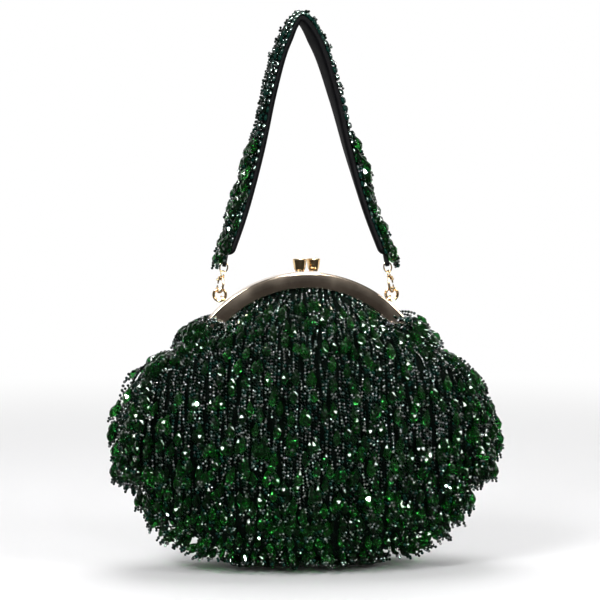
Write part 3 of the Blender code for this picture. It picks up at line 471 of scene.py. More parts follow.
for hand, word in ((-1, "left"), (1, "right")):
    outward = arch_point(hand * STAPLE_ANGLE, 1.0, 0.0) - ARCH_CENTRE
    foot = arch_point(hand * STAPLE_ANGLE, ARCH_RADIUS + RIM_GAP, RING_PLACE.y)
    half_staple = [(-2 * STAPLE_BEND, -0.0001), (-2 * STAPLE_BEND, STAPLE_TOP - STAPLE_BEND)]
    for turn in (0.4, 0.8, 1.2, 1.57):
        half_staple.append((-STAPLE_BEND * (1 + math.cos(turn)),
                            STAPLE_TOP - STAPLE_BEND * (1 - math.sin(turn))))
    staple_line = half_staple + [(-across, rise) for across, rise in reversed(half_staple)]
    staple_points = [foot + Vector((0.0, across, 0.0)) + outward * rise for across, rise in staple_line]
    brazed([wire(staple_points, STAPLE_WIRE)], f"{word}_wire_staple", f"{word}_ring_staple", "bag")

    centre = Vector((hand * RING_PLACE.x, RING_PLACE.y, RING_PLACE.z))
    upright = Vector((0.0, 0.0, 1.0))
    ring = loop_of_wire(centre, Vector((1.0, 0.0, 0.0)), upright, RING_REACH, RING_REACH, RING_WIRE, 48)
    brazed([ring], f"{word}_handle_ring", f"{word}_ring", "rings")

    start, along, level = chain_place(hand)
    across = level * math.cos(CLAW_TURN) + Vector((0.0, 1.0, 0.0)) * math.sin(CLAW_TURN)
    aside = across.cross(along)
    claw_place = Matrix((across, along, aside)).transposed()

    def at(out, far, side=0.0):
        """A place on the claw: out to its gate, far up the chain and to the side."""
        return start + claw_place @ Vector((out, far, side))

    hook_line = [at(HOOK_REACH, 0.0020)]
    for i in range(9):
        turn = -math.pi * i / 8
        hook_line.append(at(HOOK_REACH * math.cos(turn), 0.0004 + HOOK_REACH * math.sin(turn)))
    hook_line += [at(-HOOK_REACH, 0.0032), at(-0.00238, 0.0046), at(-0.00112, 0.0073), at(0.0, 0.0076)]
    hook_swell = [0.62 + 0.46 * min(i / 20, 1.0) for i in range(61)]
    claw_parts = [wire(curve_through(hook_line, 60), HOOK_WIRE, False, hook_swell),
                  loop_of_wire(at(0.0, EYE_FAR), across, along, EYE_REACH, EYE_REACH, THIN_WIRE, 28)]
    claw_parts.append(rod(at(-0.00056, 0.00744), along, ((0.0, 0.0011), (0.00025, 0.0015), (0.0006, 0.0016),
                                                         (0.0008, 0.0013), (0.0010, 0.0008))))
    for sense in (-1, 1):
        claw_parts.append(rod(at(*CHEEK_PLACE, sense * 0.00077), aside * sense,
                              ((0.0, 0.0014), (0.00045, 0.0014), (0.0006, 0.0012))))
    brazed(claw_parts, f"{word}_lobster_claw", f"{word}_claw", "handle")

    pin = rod(at(*CHEEK_PLACE, -0.00145), aside, ((0.0, 0.0003), (0.0001, 0.00038), (0.0028, 0.00038),
                                                  (0.0029, 0.0003)))
    brazed([pin], f"{word}_gate_pin", f"{word}_claw_pin", "handle")

    lever_line = [at(HOOK_REACH, 0.00292), at(0.00272, 0.00476), at(0.00224, 0.00568), at(0.00144, 0.00598)]
    lever_swell = [0.8 + 0.2 * min(i / 8, 1.0) for i in range(25)]
    lever = wire(curve_through(lever_line, 24), LEVER_WIRE, False, lever_swell)
    lever_eye = rod(at(*CHEEK_PLACE, -0.0004), aside, ((0.0, 0.00095), (0.0001, 0.0011), (0.0007, 0.0011),
                                                       (0.0008, 0.00095)))
    nub = rod(at(0.00252, 0.00476), across + along * 0.4, ((0.0, 0.0005), (0.0011, 0.0005), (0.0014, 0.00074),
                                                           (0.0020, 0.00074), (0.0023, 0.00043)))
    brazed([lever, lever_eye, nub], f"{word}_sprung_gate", f"{word}_claw_gate", f"{word}_gate")

    link_centre = start + along * (LINK_FOOT + LINK_TALL)
    link = loop_of_wire(link_centre, level, along, LINK_WIDE, LINK_TALL, THIN_WIRE, 40)
    brazed([link], f"{word}_oval_link", f"{word}_link", "handle")


# Hand strap: a 20 mm band lined with black satin, beaded all over its outer side, with its lining folded
# over as a dark edge towards the hand. It rises from two sewn tabs to a peak and is twisted a little, so
# that the lining of the right arm and the beads of the left arm show from the front.

TAB_TOP_FAR = 0.0227
STRAP_TOP = 0.361
STRAP_LEAN = -0.004
STRAP_HALF_WIDTH = 0.01025
STRAP_BEAD_THICK = 0.0024
PACKED_TWIST = math.radians(20.0)
SPREAD_SHARES = (1.0, 0.80, 0.60, 0.425, 0.235, 0.0)
RISE_SHARES = (0.0, 0.19, 0.43, 0.68, 0.885, 1.0)
TWIST_PLACES = (0.0, 0.25, 0.42, 0.5, 0.58, 0.70, 0.86, 1.0)
TWIST_DEGREES = (-8.0, -14.0, -12.0, 1.0, 12.0, 8.0, -5.0, -6.0)
ARM_SHARE = 0.36
END_ROUNDING = 0.0055

chain_foot, up_chain, _ = chain_place(1)
strap_foot = chain_foot + up_chain * TAB_TOP_FAR
strap_rise = STRAP_TOP - STRAP_HALF_WIDTH * math.sin(PACKED_TWIST) - STRAP_BEAD_THICK - strap_foot.z
right_arm = []
left_arm = []
for spread, up in zip(SPREAD_SHARES, RISE_SHARES):
    height = strap_foot.z + up * strap_rise
    right_arm.append(Vector((spread * strap_foot.x + STRAP_LEAN * up, RING_PLACE.y, height)))
    left_arm.append(Vector((STRAP_LEAN * up - spread * strap_foot.x, RING_PLACE.y, height)))
STRAP_LINE = curve_through(left_arm[:-1] + right_arm[::-1], 160)


def strap_frame(place):
    """A point on the strap's middle line, and the ways along it, across to the front and out of its beads."""
    index = min(max(place, 0.0), 1.0) * (len(STRAP_LINE) - 1)
    low = min(int(index), len(STRAP_LINE) - 2)
    point = STRAP_LINE[low].lerp(STRAP_LINE[low + 1], index - low)
    before = STRAP_LINE[max(low - 3, 0)]
    after = STRAP_LINE[min(low + 4, len(STRAP_LINE) - 1)]
    along = (after - before).normalized()
    outward = along.cross(Vector((0.0, 1.0, 0.0)))
    twist = math.radians(float(np.interp(place, TWIST_PLACES, TWIST_DEGREES)))
    front = Vector((0.0, -1.0, 0.0)) * math.cos(twist) + outward * math.sin(twist)
    out = outward * math.cos(twist) + Vector((0.0, 1.0, 0.0)) * math.sin(twist)
    return point, along, front, out


def swept_band(name, section, steps, finish):
    """A closed section of (across, out) points carried along the strap's line, with both ends rounded off."""
    mesh = bmesh.new()
    rings = []
    for step in range(steps + 1):
        point, _, front, out = strap_frame(step / steps)
        to_end = min(step, steps - step) / steps * ARM_SHARE
        taper = math.sqrt(max(1.0 - (1.0 - min(to_end / END_ROUNDING, 1.0)) ** 2, 0.08))
        rings.append([mesh.verts.new(point + front * wide * (0.4 + 0.6 * taper) + out * deep * taper)
                      for wide, deep in section])
    for near, far in zip(rings, rings[1:]):
        for i in range(len(section)):
            j = (i + 1) % len(section)
            mesh.faces.new((near[i], near[j], far[j], far[i]))
    mesh.faces.new(rings[0])
    mesh.faces.new(rings[-1])
    bmesh.ops.recalc_face_normals(mesh, faces=mesh.faces[:])
    data = bpy.data.meshes.new(name)
    mesh.to_mesh(data)
    mesh.free()
    band = bpy.data.objects.new(name, data)
    studio.collection.objects.link(band)
    return settle(band, name, finish, 50.0)


def satin_cloth(name, colour, painted_glint):
    """Black satin: fine close ribs across the light, a soft sheen, slight puckers and a painted glint on the
    raised puckers.
    """
    satin, net, shader = new_finish(name, {"Sheen Weight": 0.008, "Sheen Roughness": 0.35,
                                           "Specular IOR Level": 0.008})
    place = wired(net, "ShaderNodeTexCoord", {}).outputs["Object"]
    pucker = wired(net, "ShaderNodeTexNoise", {"Vector": place, "Scale": 140.0, "Detail": 3.0}).outputs["Fac"]
    weave = wired(net, "ShaderNodeTexWave", {"Vector": place, "Scale": 900.0, "Distortion": 1.5},
                  bands_direction="Z").outputs["Fac"]
    # Painted highlight: the satin's colour lightens where the puckers rise, as a glint the light would give.
    toned(net, shader, pucker, colour, painted_glint)
    feed(net, shader, {"Roughness": graded(net, pucker, 0.0, 1.0, 0.36, 0.60)})
    relief = wired(net, "ShaderNodeMath", {0: pucker, 1: 3.0, 2: weave}, operation="MULTIPLY_ADD")
    embossed(net, shader, relief, 0.35, 0.00015)
    return satin


# The second colour is the painted glint on the raised puckers.
BLACK_SATIN = satin_cloth("black_satin", (0.0018, 0.0018, 0.0021), (0.0055, 0.0055, 0.0065))

# The satin lining is slightly padded, and its edges are turned over.
padded = []
for step in range(9):
    share = step / 8 * 2 - 1
    padded.append((share * 0.0092, -0.0032 - 0.0006 * (1 - share ** 4)))
turned_edge = [(0.0098, -0.0026), (0.0101, -0.0014), (0.0099, -0.0002), (0.0092, 0.0002)]
lining_section = padded + turned_edge + [(-across, out) for across, out in reversed(turned_edge)]
strap_satin = swept_band("strap_satin", lining_section, 240, BLACK_SATIN)
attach(strap_satin, "handle")
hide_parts("strap_lining")


# Strap tabs: a short doubled tongue of the same satin under each end of the strap, round at its foot and
# square at its top, with an eyelet for the link.

TAB_EYELET = 0.0013
TAB_HALF_WIDTH = 0.00365
TAB_RISE = 0.0076
TAB_FALL = 0.0024
TAB_THICK = 0.0024
EYELET_FAR = LINK_FOOT + 2 * LINK_TALL - 0.0004


def strap_tab(name, node, hand):
    """A ring of edges drawn out to the tab's outline, thickened and set under the strap's end."""
    put_down_all()
    start, along, level = chain_place(hand)
    bpy.ops.mesh.primitive_circle_add(vertices=32, radius=TAB_EYELET, fill_type="NOTHING")
    tab = bpy.context.object
    bpy.ops.object.mode_set(mode="EDIT")
    bpy.ops.mesh.select_all(action="SELECT")
    bpy.ops.mesh.extrude_region_move(TRANSFORM_OT_translate={"value": (0.0, 0.0, 0.0)})
    bpy.ops.object.mode_set(mode="OBJECT")
    for vertex in tab.data.vertices:
        if not vertex.select:
            continue
        turn = math.atan2(vertex.co.y, vertex.co.x)
        across, far = math.cos(turn), math.sin(turn)
        square = max(abs(across), abs(far))
        if far > 0:
            vertex.co = Vector((across / square * TAB_HALF_WIDTH, far / square * TAB_RISE, 0.0))
        else:
            vertex.co = Vector((TAB_HALF_WIDTH * across, TAB_FALL * far, 0.0))
    given_wall(tab, TAB_THICK)
    broken_edges(tab, 0.0003, 30.0)
    place = Matrix((Vector((0.0, -1.0, 0.0)), along, level)).transposed().to_4x4()
    place.translation = start + along * EYELET_FAR
    tab.data.transform(place)
    settle(tab, name, BLACK_SATIN, 40.0)
    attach(tab, "handle")
    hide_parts(node)


strap_tab("left_satin_tab", "left_strap_tab", -1)
strap_tab("right_satin_tab", "right_strap_tab", 1)


# Frame cords: a twisted paper cord pressed into each channel to wedge the cloth's edge. It is kept as packed
# and gets its twist and its matt fawn paper from a material that reads the object's own place;
# the material also paints shade into the grooves of the twist.

def paper_cord(name, dark, light):
    cord, net, shader = new_finish(name, {"Roughness": 0.8})
    place = wired(net, "ShaderNodeTexCoord", {}).outputs["Object"]
    twist = wired(net, "ShaderNodeTexWave", {"Vector": place, "Scale": 260.0, "Distortion": 1.0},
                  bands_direction="DIAGONAL").outputs["Fac"]
    # Painted shade: the paper is darker in the grooves of the twist and lighter on its ridges, by the same
    # pattern as the bump.
    toned(net, shader, twist, dark, light)
    embossed(net, shader, twist, 0.8, 0.0003)
    return cord


FAWN_PAPER = paper_cord("paper_cord", (0.16, 0.12, 0.08), (0.32, 0.26, 0.18))
refinish(("front_frame_cord", "rear_frame_cord"), FAWN_PAPER)


# Pouch body: matt ground cloth over a stiff interlining, lined with black satin, held in the frame's
# channels. Two upper panels hang from the frame halves and meet the lower bowl at a level seam.
# The fringe is sewn on this cloth, so little of it shows between the strands.

POUCH_HALF_WIDTH = 0.1145
POUCH_HALF_DEPTH = 0.041
WIDEST_Z = 0.085
LOWER_RISE = 0.082
UPPER_RISE = 0.086
JOIN_Z = 0.112
BOTTOM_Z = 0.0095
SIDE_SEAM_TOP = Vector((0.063, 0.0, 0.1355))
JOIN_LATITUDE = math.asin((JOIN_Z - WIDEST_Z) / UPPER_RISE)
BOTTOM_LATITUDE = -math.asin((WIDEST_Z - BOTTOM_Z) / LOWER_RISE)
MOUTH_RADIUS = ARCH_RADIUS - ARCH_BAND - 0.0015
MOUTH_END = math.radians(52.0)
MOUTH_SHARE = 0.72
TUCK_RISE = ARCH_BAND * 0.55
HIP_PUFF = 0.006
CLOTH_THICK = 0.0010
SATIN_THICK = 0.0007
LINING_SET = -0.0013
PANEL_REACH = 0.2455
WEAVE_SCALE = 950.0


def mouth_line(part, tuck):
    """The front's top edge, from the middle (0) to the side seam (1), lifted into the channel by tuck."""
    inside_y = (ARCH_DEPTH + MEETING_GAP) / 2
    if part <= MOUTH_SHARE:
        return arch_point(MOUTH_END * part / MOUTH_SHARE, MOUTH_RADIUS + tuck * TUCK_RISE, -inside_y)
    share = (part - MOUTH_SHARE) / (1 - MOUTH_SHARE)
    start = arch_point(MOUTH_END, MOUTH_RADIUS, -inside_y)
    turn = share * math.pi / 2
    point = Vector((start.x + (SIDE_SEAM_TOP.x - start.x) * math.sin(turn), start.y * math.cos(turn),
                    start.z + (SIDE_SEAM_TOP.z - start.z) * math.sin(turn) ** 0.6))
    out = arch_point(MOUTH_END, 1.0, 0.0) - ARCH_CENTRE
    return point + out * (tuck * TUCK_RISE * (1 - share)) + Vector((0.0, 0.0, tuck * 0.0015 * share))


def bowl_line(part, latitude):
    """The front's surface at a latitude of the bowl, from the middle (0) to the side (1)."""
    rise = UPPER_RISE if latitude > 0 else LOWER_RISE
    level = math.cos(latitude)
    swing = part * math.pi / 2
    return Vector((POUCH_HALF_WIDTH * level * math.sin(swing), -POUCH_HALF_DEPTH * level * math.cos(swing),
                   WIDEST_Z + rise * math.sin(latitude)))


def cloth_quarter(part, drop):
    """A quarter of the cloth: drop 0 is the mouth, 1 the level seam and 2 the bottom."""
    if drop >= 1.0:
        return bowl_line(part, JOIN_LATITUDE + (BOTTOM_LATITUDE - JOIN_LATITUDE) * (drop - 1.0))
    if drop <= 0.0:
        return mouth_line(part, min(-drop, 1.0))
    top = mouth_line(part, 0.0)
    foot = bowl_line(part, JOIN_LATITUDE)
    sideways = part ** 8
    swing = math.sin(math.pi / 2 * drop)
    fall = (1 - sideways) * drop + sideways * (1 - math.cos(math.pi / 2 * drop))
    puff = HIP_PUFF * part ** 3 * math.sin(math.pi * drop ** 1.5) ** 2
    return Vector((top.x + (foot.x - top.x) * swing ** (1.6 - 0.8 * sideways),
                   top.y + (foot.y - top.y) * swing ** 0.9, top.z + (foot.z - top.z) * fall + puff))


def cloth_point(turn, drop):
    """The cloth's middle surface: turn goes round from the front's middle, drop from mouth to bottom."""
    turn = turn % 1.0
    quarter = turn * 4
    part = (quarter, 2 - quarter, quarter - 2, 4 - quarter)[min(int(quarter), 3)]
    point = cloth_quarter(max(part, 0.0), drop)
    point.x *= 1 if turn <= 0.5 else -1
    point.y *= 1 if turn <= 0.25 or turn >= 0.75 else -1
    return point


def cloth_frame(turn, drop):
    """A point on the cloth, the slopes along turn and drop, and the way out."""
    step = 0.004
    around = (cloth_point(turn + step, drop) - cloth_point(turn - step, drop)) / (2 * step)
    down = (cloth_point(turn, drop + step) - cloth_point(turn, drop - step)) / (2 * step)
    out = down.cross(around)
    if out.length < 1e-9:
        out = Vector((0.0, 0.0, -1.0))
    return cloth_point(turn, drop), around, down, out.normalized()


def ground_cloth(name, dark, light):
    """Matt black-green plain weave, its crossed threads slightly uneven in tone."""
    cloth, net, shader = new_finish(name, {"Specular IOR Level": 0.0})
    place = wired(net, "ShaderNodeTexCoord", {}).outputs["Object"]
    weft = wired(net, "ShaderNodeTexWave", {"Vector": place, "Scale": WEAVE_SCALE}, bands_direction="X")
    warp = wired(net, "ShaderNodeTexWave", {"Vector": place, "Scale": WEAVE_SCALE}, bands_direction="Z")
    uneven = wired(net, "ShaderNodeTexNoise", {"Vector": place, "Scale": 220.0}).outputs["Fac"]
    toned(net, shader, uneven, dark, light)
    feed(net, shader, {"Roughness": graded(net, uneven, 0.0, 1.0, 0.72, 0.95)})
    threads = wired(net, "ShaderNodeMath", {0: weft.outputs["Fac"], 1: warp.outputs["Fac"]},
                    operation="MAXIMUM")
    embossed(net, shader, threads, 0.5, 0.0001)
    return cloth


GROUND_CLOTH = ground_cloth("ground_cloth", (0.0020, 0.0036, 0.0028), (0.0050, 0.0078, 0.0064))


def sewn_sheet(name, low_turn, high_turn, drops, lift, thick, finish, floor_z=None):
    """A grid laid over the pouch's surface, merged where it meets itself, and given the cloth's thickness."""
    put_down_all()
    columns = 144 if floor_z is not None else 72
    bpy.ops.mesh.primitive_grid_add(x_subdivisions=columns, y_subdivisions=24, size=2.0)
    sheet = bpy.context.object
    for vertex in sheet.data.vertices:
        turn = low_turn + (high_turn - low_turn) * (vertex.co.x + 1) / 2
        drop = drops[0] + (drops[1] - drops[0]) * (vertex.co.y + 1) / 2
        place, _, _, out = cloth_frame(turn, drop)
        vertex.co = place + out * lift
    bpy.ops.object.mode_set(mode="EDIT")
    bpy.ops.mesh.select_all(action="SELECT")
    bpy.ops.mesh.remove_doubles(threshold=1e-5)
    if floor_z is not None:
        bpy.ops.mesh.select_all(action="DESELECT")
        bpy.ops.object.mode_set(mode="OBJECT")
        lowest = min(vertex.co.z for vertex in sheet.data.vertices)
        for vertex in sheet.data.vertices:
            vertex.select = vertex.co.z < lowest + 1e-5
        bpy.ops.object.mode_set(mode="EDIT")
        for share in (0.75, 0.6, 0.3):
            bpy.ops.mesh.extrude_region_move(TRANSFORM_OT_translate={"value": (0.0, 0.0, 0.0)})
            bpy.ops.transform.resize(value=(share, share, 0.0), center_override=(0.0, 0.0, floor_z))
        bpy.ops.mesh.merge(type="CENTER")
    bpy.ops.mesh.select_all(action="SELECT")
    bpy.ops.mesh.normals_make_consistent(inside=False)
    bpy.ops.object.mode_set(mode="OBJECT")
    given_wall(sheet, thick)
    return settle(sheet, name, finish, 60.0)


def rides_the_front(piece):
    """Puts the piece's place into its mesh and leaves it unattached to any body."""
    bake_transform(piece)


for side, middle in (("front", 0.0), ("rear", 0.5)):
    low_turn, high_turn = middle - PANEL_REACH, middle + PANEL_REACH
    fabric = sewn_sheet(f"{side}_upper_fabric_sheet", low_turn, high_turn, (-0.9, 0.998), 0.0,
                        CLOTH_THICK, GROUND_CLOTH)
    lining = sewn_sheet(f"{side}_upper_lining_sheet", low_turn, high_turn, (-0.3, 0.998), LINING_SET,
                        SATIN_THICK, BLACK_SATIN)
    for panel, node, slot_name in ((fabric, f"{side}_upper_fabric", "ground_fabric"),
                                   (lining, f"{side}_upper_lining", "black_satin")):
        if side == "front":
            rides_the_front(panel)
        else:
            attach(panel, "bag")
        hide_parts(node)

bowl = sewn_sheet("pouch_bowl", 0.0, 1.0, (1.001, 1.985), 0.0, CLOTH_THICK, GROUND_CLOTH, BOTTOM_Z + 0.0005)
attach(bowl, "bag")
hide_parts("pouch_shell")
bowl_lining = sewn_sheet("pouch_bowl_lining", 0.0, 1.0, (1.001, 1.97), LINING_SET, SATIN_THICK, BLACK_SATIN,
                         BOTTOM_Z + 0.0020)
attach(bowl_lining, "bag")
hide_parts("pouch_lining")


# Fringe: about three thousand strands sewn on in close rows, each a thread with small dark green glass seed
# beads, most with one faceted green teardrop and a loop of three seeds. Upper rows lie over lower ones.
# Each row is threaded bead by bead down the slope of the cloth, from one seed and one drop modelled once.

SEED_RADIUS = 0.00105
SEED_PITCH = 0.00205
DROP_LENGTH = 0.0112
DROP_RADIUS = 0.0028
DROP_FACETS = 7
DROP_LEVELS = ((0.0, -1.0, 0.0), (0.52, -0.80, 0.5), (1.0, -0.38, 0.0), (0.97, -0.02, 0.5), (0.66, 0.42, 0.0),
               (0.30, 0.84, 0.5), (0.0, 1.0, 0.0))
SILVER_FROM = 0.955
SHOULDER_HEAP = 0.0082
SWAY = 0.05
STRAY_SWAY = 0.25
STRAY_SHARE = 0.07
CURL = 0.07
FIRST_LIFT = 0.0012
DROP_GAP = 0.0003
LAST_SLOPE = 1.985
CLOTH_END = 1.99
FRINGE_HALF_WIDTH = 0.120
FRINGE_HALF_DEPTH = 0.0497
FOOT_REACHES = (0.30, 0.41, 0.53, 0.64, 0.77, 0.82, 0.87, 0.91, 0.97)
FOOT_HEIGHTS = (0.0012, 0.0058, 0.0120, 0.0180, 0.0240, 0.0300, 0.0370, 0.0440, 0.0560)
TIP_ROOM = 0.0135
TIP_SLACK = 0.0045
PICOT_REACH = 0.0036
TIP_HEIGHT = 0.0022
TABLE_ROOM = 0.0016
DOWN = Vector((0.0, 0.0, -1.0))
rng = np.random.default_rng(417)


def bead_glass(name, dark, mid, teal, silver):
    """Dark lined glass: every bead has its own shade and polish, and a few catch the light like silver."""
    glass, net, shader = new_finish(name, {"IOR": 1.5})
    shade = wired(net, "ShaderNodeAttribute", {}, attribute_name="bead_shade").outputs["Fac"]
    ramp = wired(net, "ShaderNodeValToRGB", {0: shade})
    ramp.color_ramp.elements[0].color = (*dark, 1.0)
    ramp.color_ramp.elements[1].color = (*silver, 1.0)
    for place, colour in ((0.62, mid), (0.80, teal), (SILVER_FROM, teal)):
        ramp.color_ramp.elements.new(place).color = (*colour, 1.0)
    ramp.color_ramp.elements[4].position = SILVER_FROM + 0.01
    scatter = wired(net, "ShaderNodeTexWhiteNoise", {}, noise_dimensions="1D")
    luck = feed(net, scatter, {"W": shade}).outputs["Value"]
    feed(net, shader, {"Base Color": ramp, "Metallic": graded(net, shade, SILVER_FROM, SILVER_FROM + 0.01),
                       "Specular IOR Level": graded(net, luck, 0.48, 1.0, 0.008, 0.75),
                       "Roughness": graded(net, luck, 0.0, 1.0, 0.25, 0.19)})
    return glass


def drop_glass(name, dark, light):
    """Clear green cut glass, tinted a little differently from drop to drop."""
    glass, net, shader = new_finish(name, {"IOR": 1.58, "Roughness": 0.03, "Transmission Weight": 0.96})
    shade = wired(net, "ShaderNodeAttribute", {}, attribute_name="bead_shade").outputs["Fac"]
    toned(net, shader, shade, dark, light)
    return glass


SEED_GLASS = bead_glass("seed_glass", (0.0010, 0.0022, 0.0016), (0.0015, 0.0080, 0.0035),
                        (0.0030, 0.0200, 0.0150), (0.10, 0.14, 0.12))
DROP_GLASS = drop_glass("drop_glass", (0.004, 0.080, 0.016), (0.030, 0.28, 0.040))


def plain_shape(piece):
    """A modelled shape's points and faces as arrays; the shape itself is then taken away."""
    points = np.array([tuple(vertex.co) for vertex in piece.data.vertices])
    faces = [tuple(face.vertices) for face in piece.data.polygons]
    bpy.data.objects.remove(piece, do_unlink=True)
    return points, faces


put_down_all()
bpy.ops.mesh.primitive_uv_sphere_add(segments=6, ring_count=4, radius=1.0)
SEED_POINTS, SEED_FACES = plain_shape(bpy.context.object)

# The teardrop has seven facets round: a pointed foot, a broad belly at a third of its height, and long facets
# that run up to the hole. Every other ring is turned by half a facet, which gives the lozenge cut.
put_down_all()
bpy.ops.mesh.primitive_uv_sphere_add(segments=DROP_FACETS, ring_count=len(DROP_LEVELS) - 1, radius=1.0)
cut_drop = bpy.context.object
for vertex in cut_drop.data.vertices:
    from_pole = 1.0 - math.acos(max(-1.0, min(1.0, vertex.co.z))) / math.pi
    radius, height, half_turn = DROP_LEVELS[round(from_pole * (len(DROP_LEVELS) - 1))]
    angle = math.atan2(vertex.co.y, vertex.co.x) + half_turn * math.tau / DROP_FACETS
    vertex.co = Vector((radius * math.cos(angle), radius * math.sin(angle), height))
DROP_POINTS, DROP_FACES = plain_shape(cut_drop)


class Threading:
    """Gathers seeds and drops into one mesh, with a shade for every bead."""

    def __init__(self):
        self.points, self.faces, self.slots, self.shades, self.count = [], [], [], [], 0

    def add(self, shape_points, shape_faces, centre, along, wide, tall, slot, shade):
        """Sets one bead on its thread, turned at random."""
        along = along.normalized()
        first = along.orthogonal().normalized()
        spin = rng.uniform(0.0, math.tau)
        across = first * math.cos(spin) + along.cross(first) * math.sin(spin)
        other = along.cross(across)
        matrix = np.array([across * wide, other * wide, along * tall])
        self.points.append(shape_points @ matrix + np.array(centre))
        base = self.count
        self.faces.extend([tuple(base + i for i in face) for face in shape_faces])
        self.slots.extend([slot] * len(shape_faces))
        self.shades.extend([shade] * len(shape_faces))
        self.count += len(shape_points)

    def seed(self, centre, along, size=1.0):
        size *= rng.uniform(0.92, 1.06)
        self.add(SEED_POINTS, SEED_FACES, centre, along, SEED_RADIUS * size, SEED_PITCH / 2 * size, 0,
                 rng.uniform())

    def drop(self, centre, along, size):
        self.add(DROP_POINTS, DROP_FACES, centre, -along, DROP_RADIUS * size, DROP_LENGTH / 2 * size, 1,
                 rng.uniform())

    def picot(self, tip, along, aside):
        """Three seeds in a little loop under a drop."""
        side = (aside - along * aside.dot(along)).normalized()
        self.seed(tip + along * 0.0008 - side * 0.0011, along + side * 0.6, 0.98)
        self.seed(tip + along * 0.0026, side, 0.98)
        self.seed(tip + along * 0.0008 + side * 0.0011, along - side * 0.6, 0.98)

    def make(self, name):
        """The finished piece: seeds smooth, drops faceted."""
        mesh = bpy.data.meshes.new(name)
        mesh.from_pydata(np.concatenate(self.points), [], self.faces)
        mesh.polygons.foreach_set("material_index", self.slots)
        shade = mesh.attributes.new("bead_shade", "FLOAT", "FACE")
        shade.data.foreach_set("value", self.shades)
        mesh.polygons.foreach_set("use_smooth", [slot == 0 for slot in self.slots])
        mesh.update()
        piece = bpy.data.objects.new(name, mesh)
        studio.collection.objects.link(piece)
        piece.data.materials.append(SEED_GLASS)
        piece.data.materials.append(DROP_GLASS)
        return piece


def slope_step(turn, drop, pull):
    """A place on the cloth, the way out, and one seed's step towards the pull as changes of turn and drop."""
    place, around, down, out = cloth_frame(turn, drop)
    fall = pull - out * pull.dot(out)
    aa, bb, ab = around.dot(around), down.dot(down), around.dot(down)
    size = aa * bb - ab * ab
    if fall.length < 1e-6 or abs(size) < 1e-14:
        return place, out, None
    fall = fall.normalized() * SEED_PITCH
    ra, rb = around.dot(fall), down.dot(fall)
    return place, out, ((ra * bb - rb * ab) / size, (rb * aa - ra * ab) / size)


def shoulder_pile(turn, drop):
    """How much further out the fringe stands over the pouch's shoulders, where the strands bunch up."""
    side = 1.0 - abs(turn % 0.5 * 4.0 - 1.0)
    bunch = max((side - 0.40) / 0.60, 0.0) ** 1.3
    rise = min(max(drop / 0.62, 0.0), 1.0)
    fall = min(max((1.60 - drop) / 0.80, 0.0), 1.0)
    return SHOULDER_HEAP * bunch * rise * rise * (3.0 - 2.0 * rise) * fall


def lowest_tip(place):
    """How far down the fringe reaches at a place: to the table in the middle, less far at the sides."""
    reach = math.hypot(place.x / FRINGE_HALF_WIDTH, place.y / FRINGE_HALF_DEPTH)
    return float(np.interp(reach, FOOT_REACHES, FOOT_HEIGHTS))


def strand_path(turn, drop, length, lift_start, lift_end, heap, lean, curl):
    """Points a seed apart down the slope of the cloth, rising off it as the lower rows pile up under it."""
    path = []
    steps = max(int(length / SEED_PITCH), 3)
    if cloth_frame(turn, min(drop, LAST_SLOPE))[3].z < -0.45:
        steps = int(rng.integers(2, 6))
    for step in range(steps + 1):
        share = step / steps
        sideways = lean + curl * math.sin(math.tau * share)
        level = Vector((math.cos(math.tau * turn), math.sin(math.tau * turn), 0.0))
        place, out, change = slope_step(turn, min(drop, LAST_SLOPE), DOWN + level * sideways)
        pile = shoulder_pile(turn, drop) * heap * min(share * 2.0 + 0.25, 1.0)
        point = place + out * (lift_start + (lift_end - lift_start) * share ** 0.8 + pile)
        if path and out.z < -0.38:
            slack = min((-out.z - 0.38) / 0.34, 1.0) * 0.85
            way = (point - path[-1]).normalized() * (1.0 - slack) + DOWN * slack
            point = path[-1] + way.normalized() * SEED_PITCH
        if len(path) > 1 and point.z < lowest_tip(point) + TIP_ROOM and out.z < 0.0:
            break
        path.append(point)
        if change is None:
            break
        turn += change[0]
        drop += change[1]
        if drop > CLOTH_END:
            break
    return path


def row_starts(drop, low_turn, high_turn, spacing, shift):
    """Turns at even distances along one row of the cloth, shifted so that rows lie between each other."""
    turns = [low_turn + (high_turn - low_turn) * i / 160 for i in range(161)]
    points = [cloth_point(turn, drop) for turn in turns]
    lengths = [0.0]
    for before, after in zip(points, points[1:]):
        lengths.append(lengths[-1] + (after - before).length)
    count = max(int(lengths[-1] / spacing), 2)
    wanted = [(i + shift) / count * lengths[-1] for i in range(count)]
    return np.interp(wanted, lengths, turns)


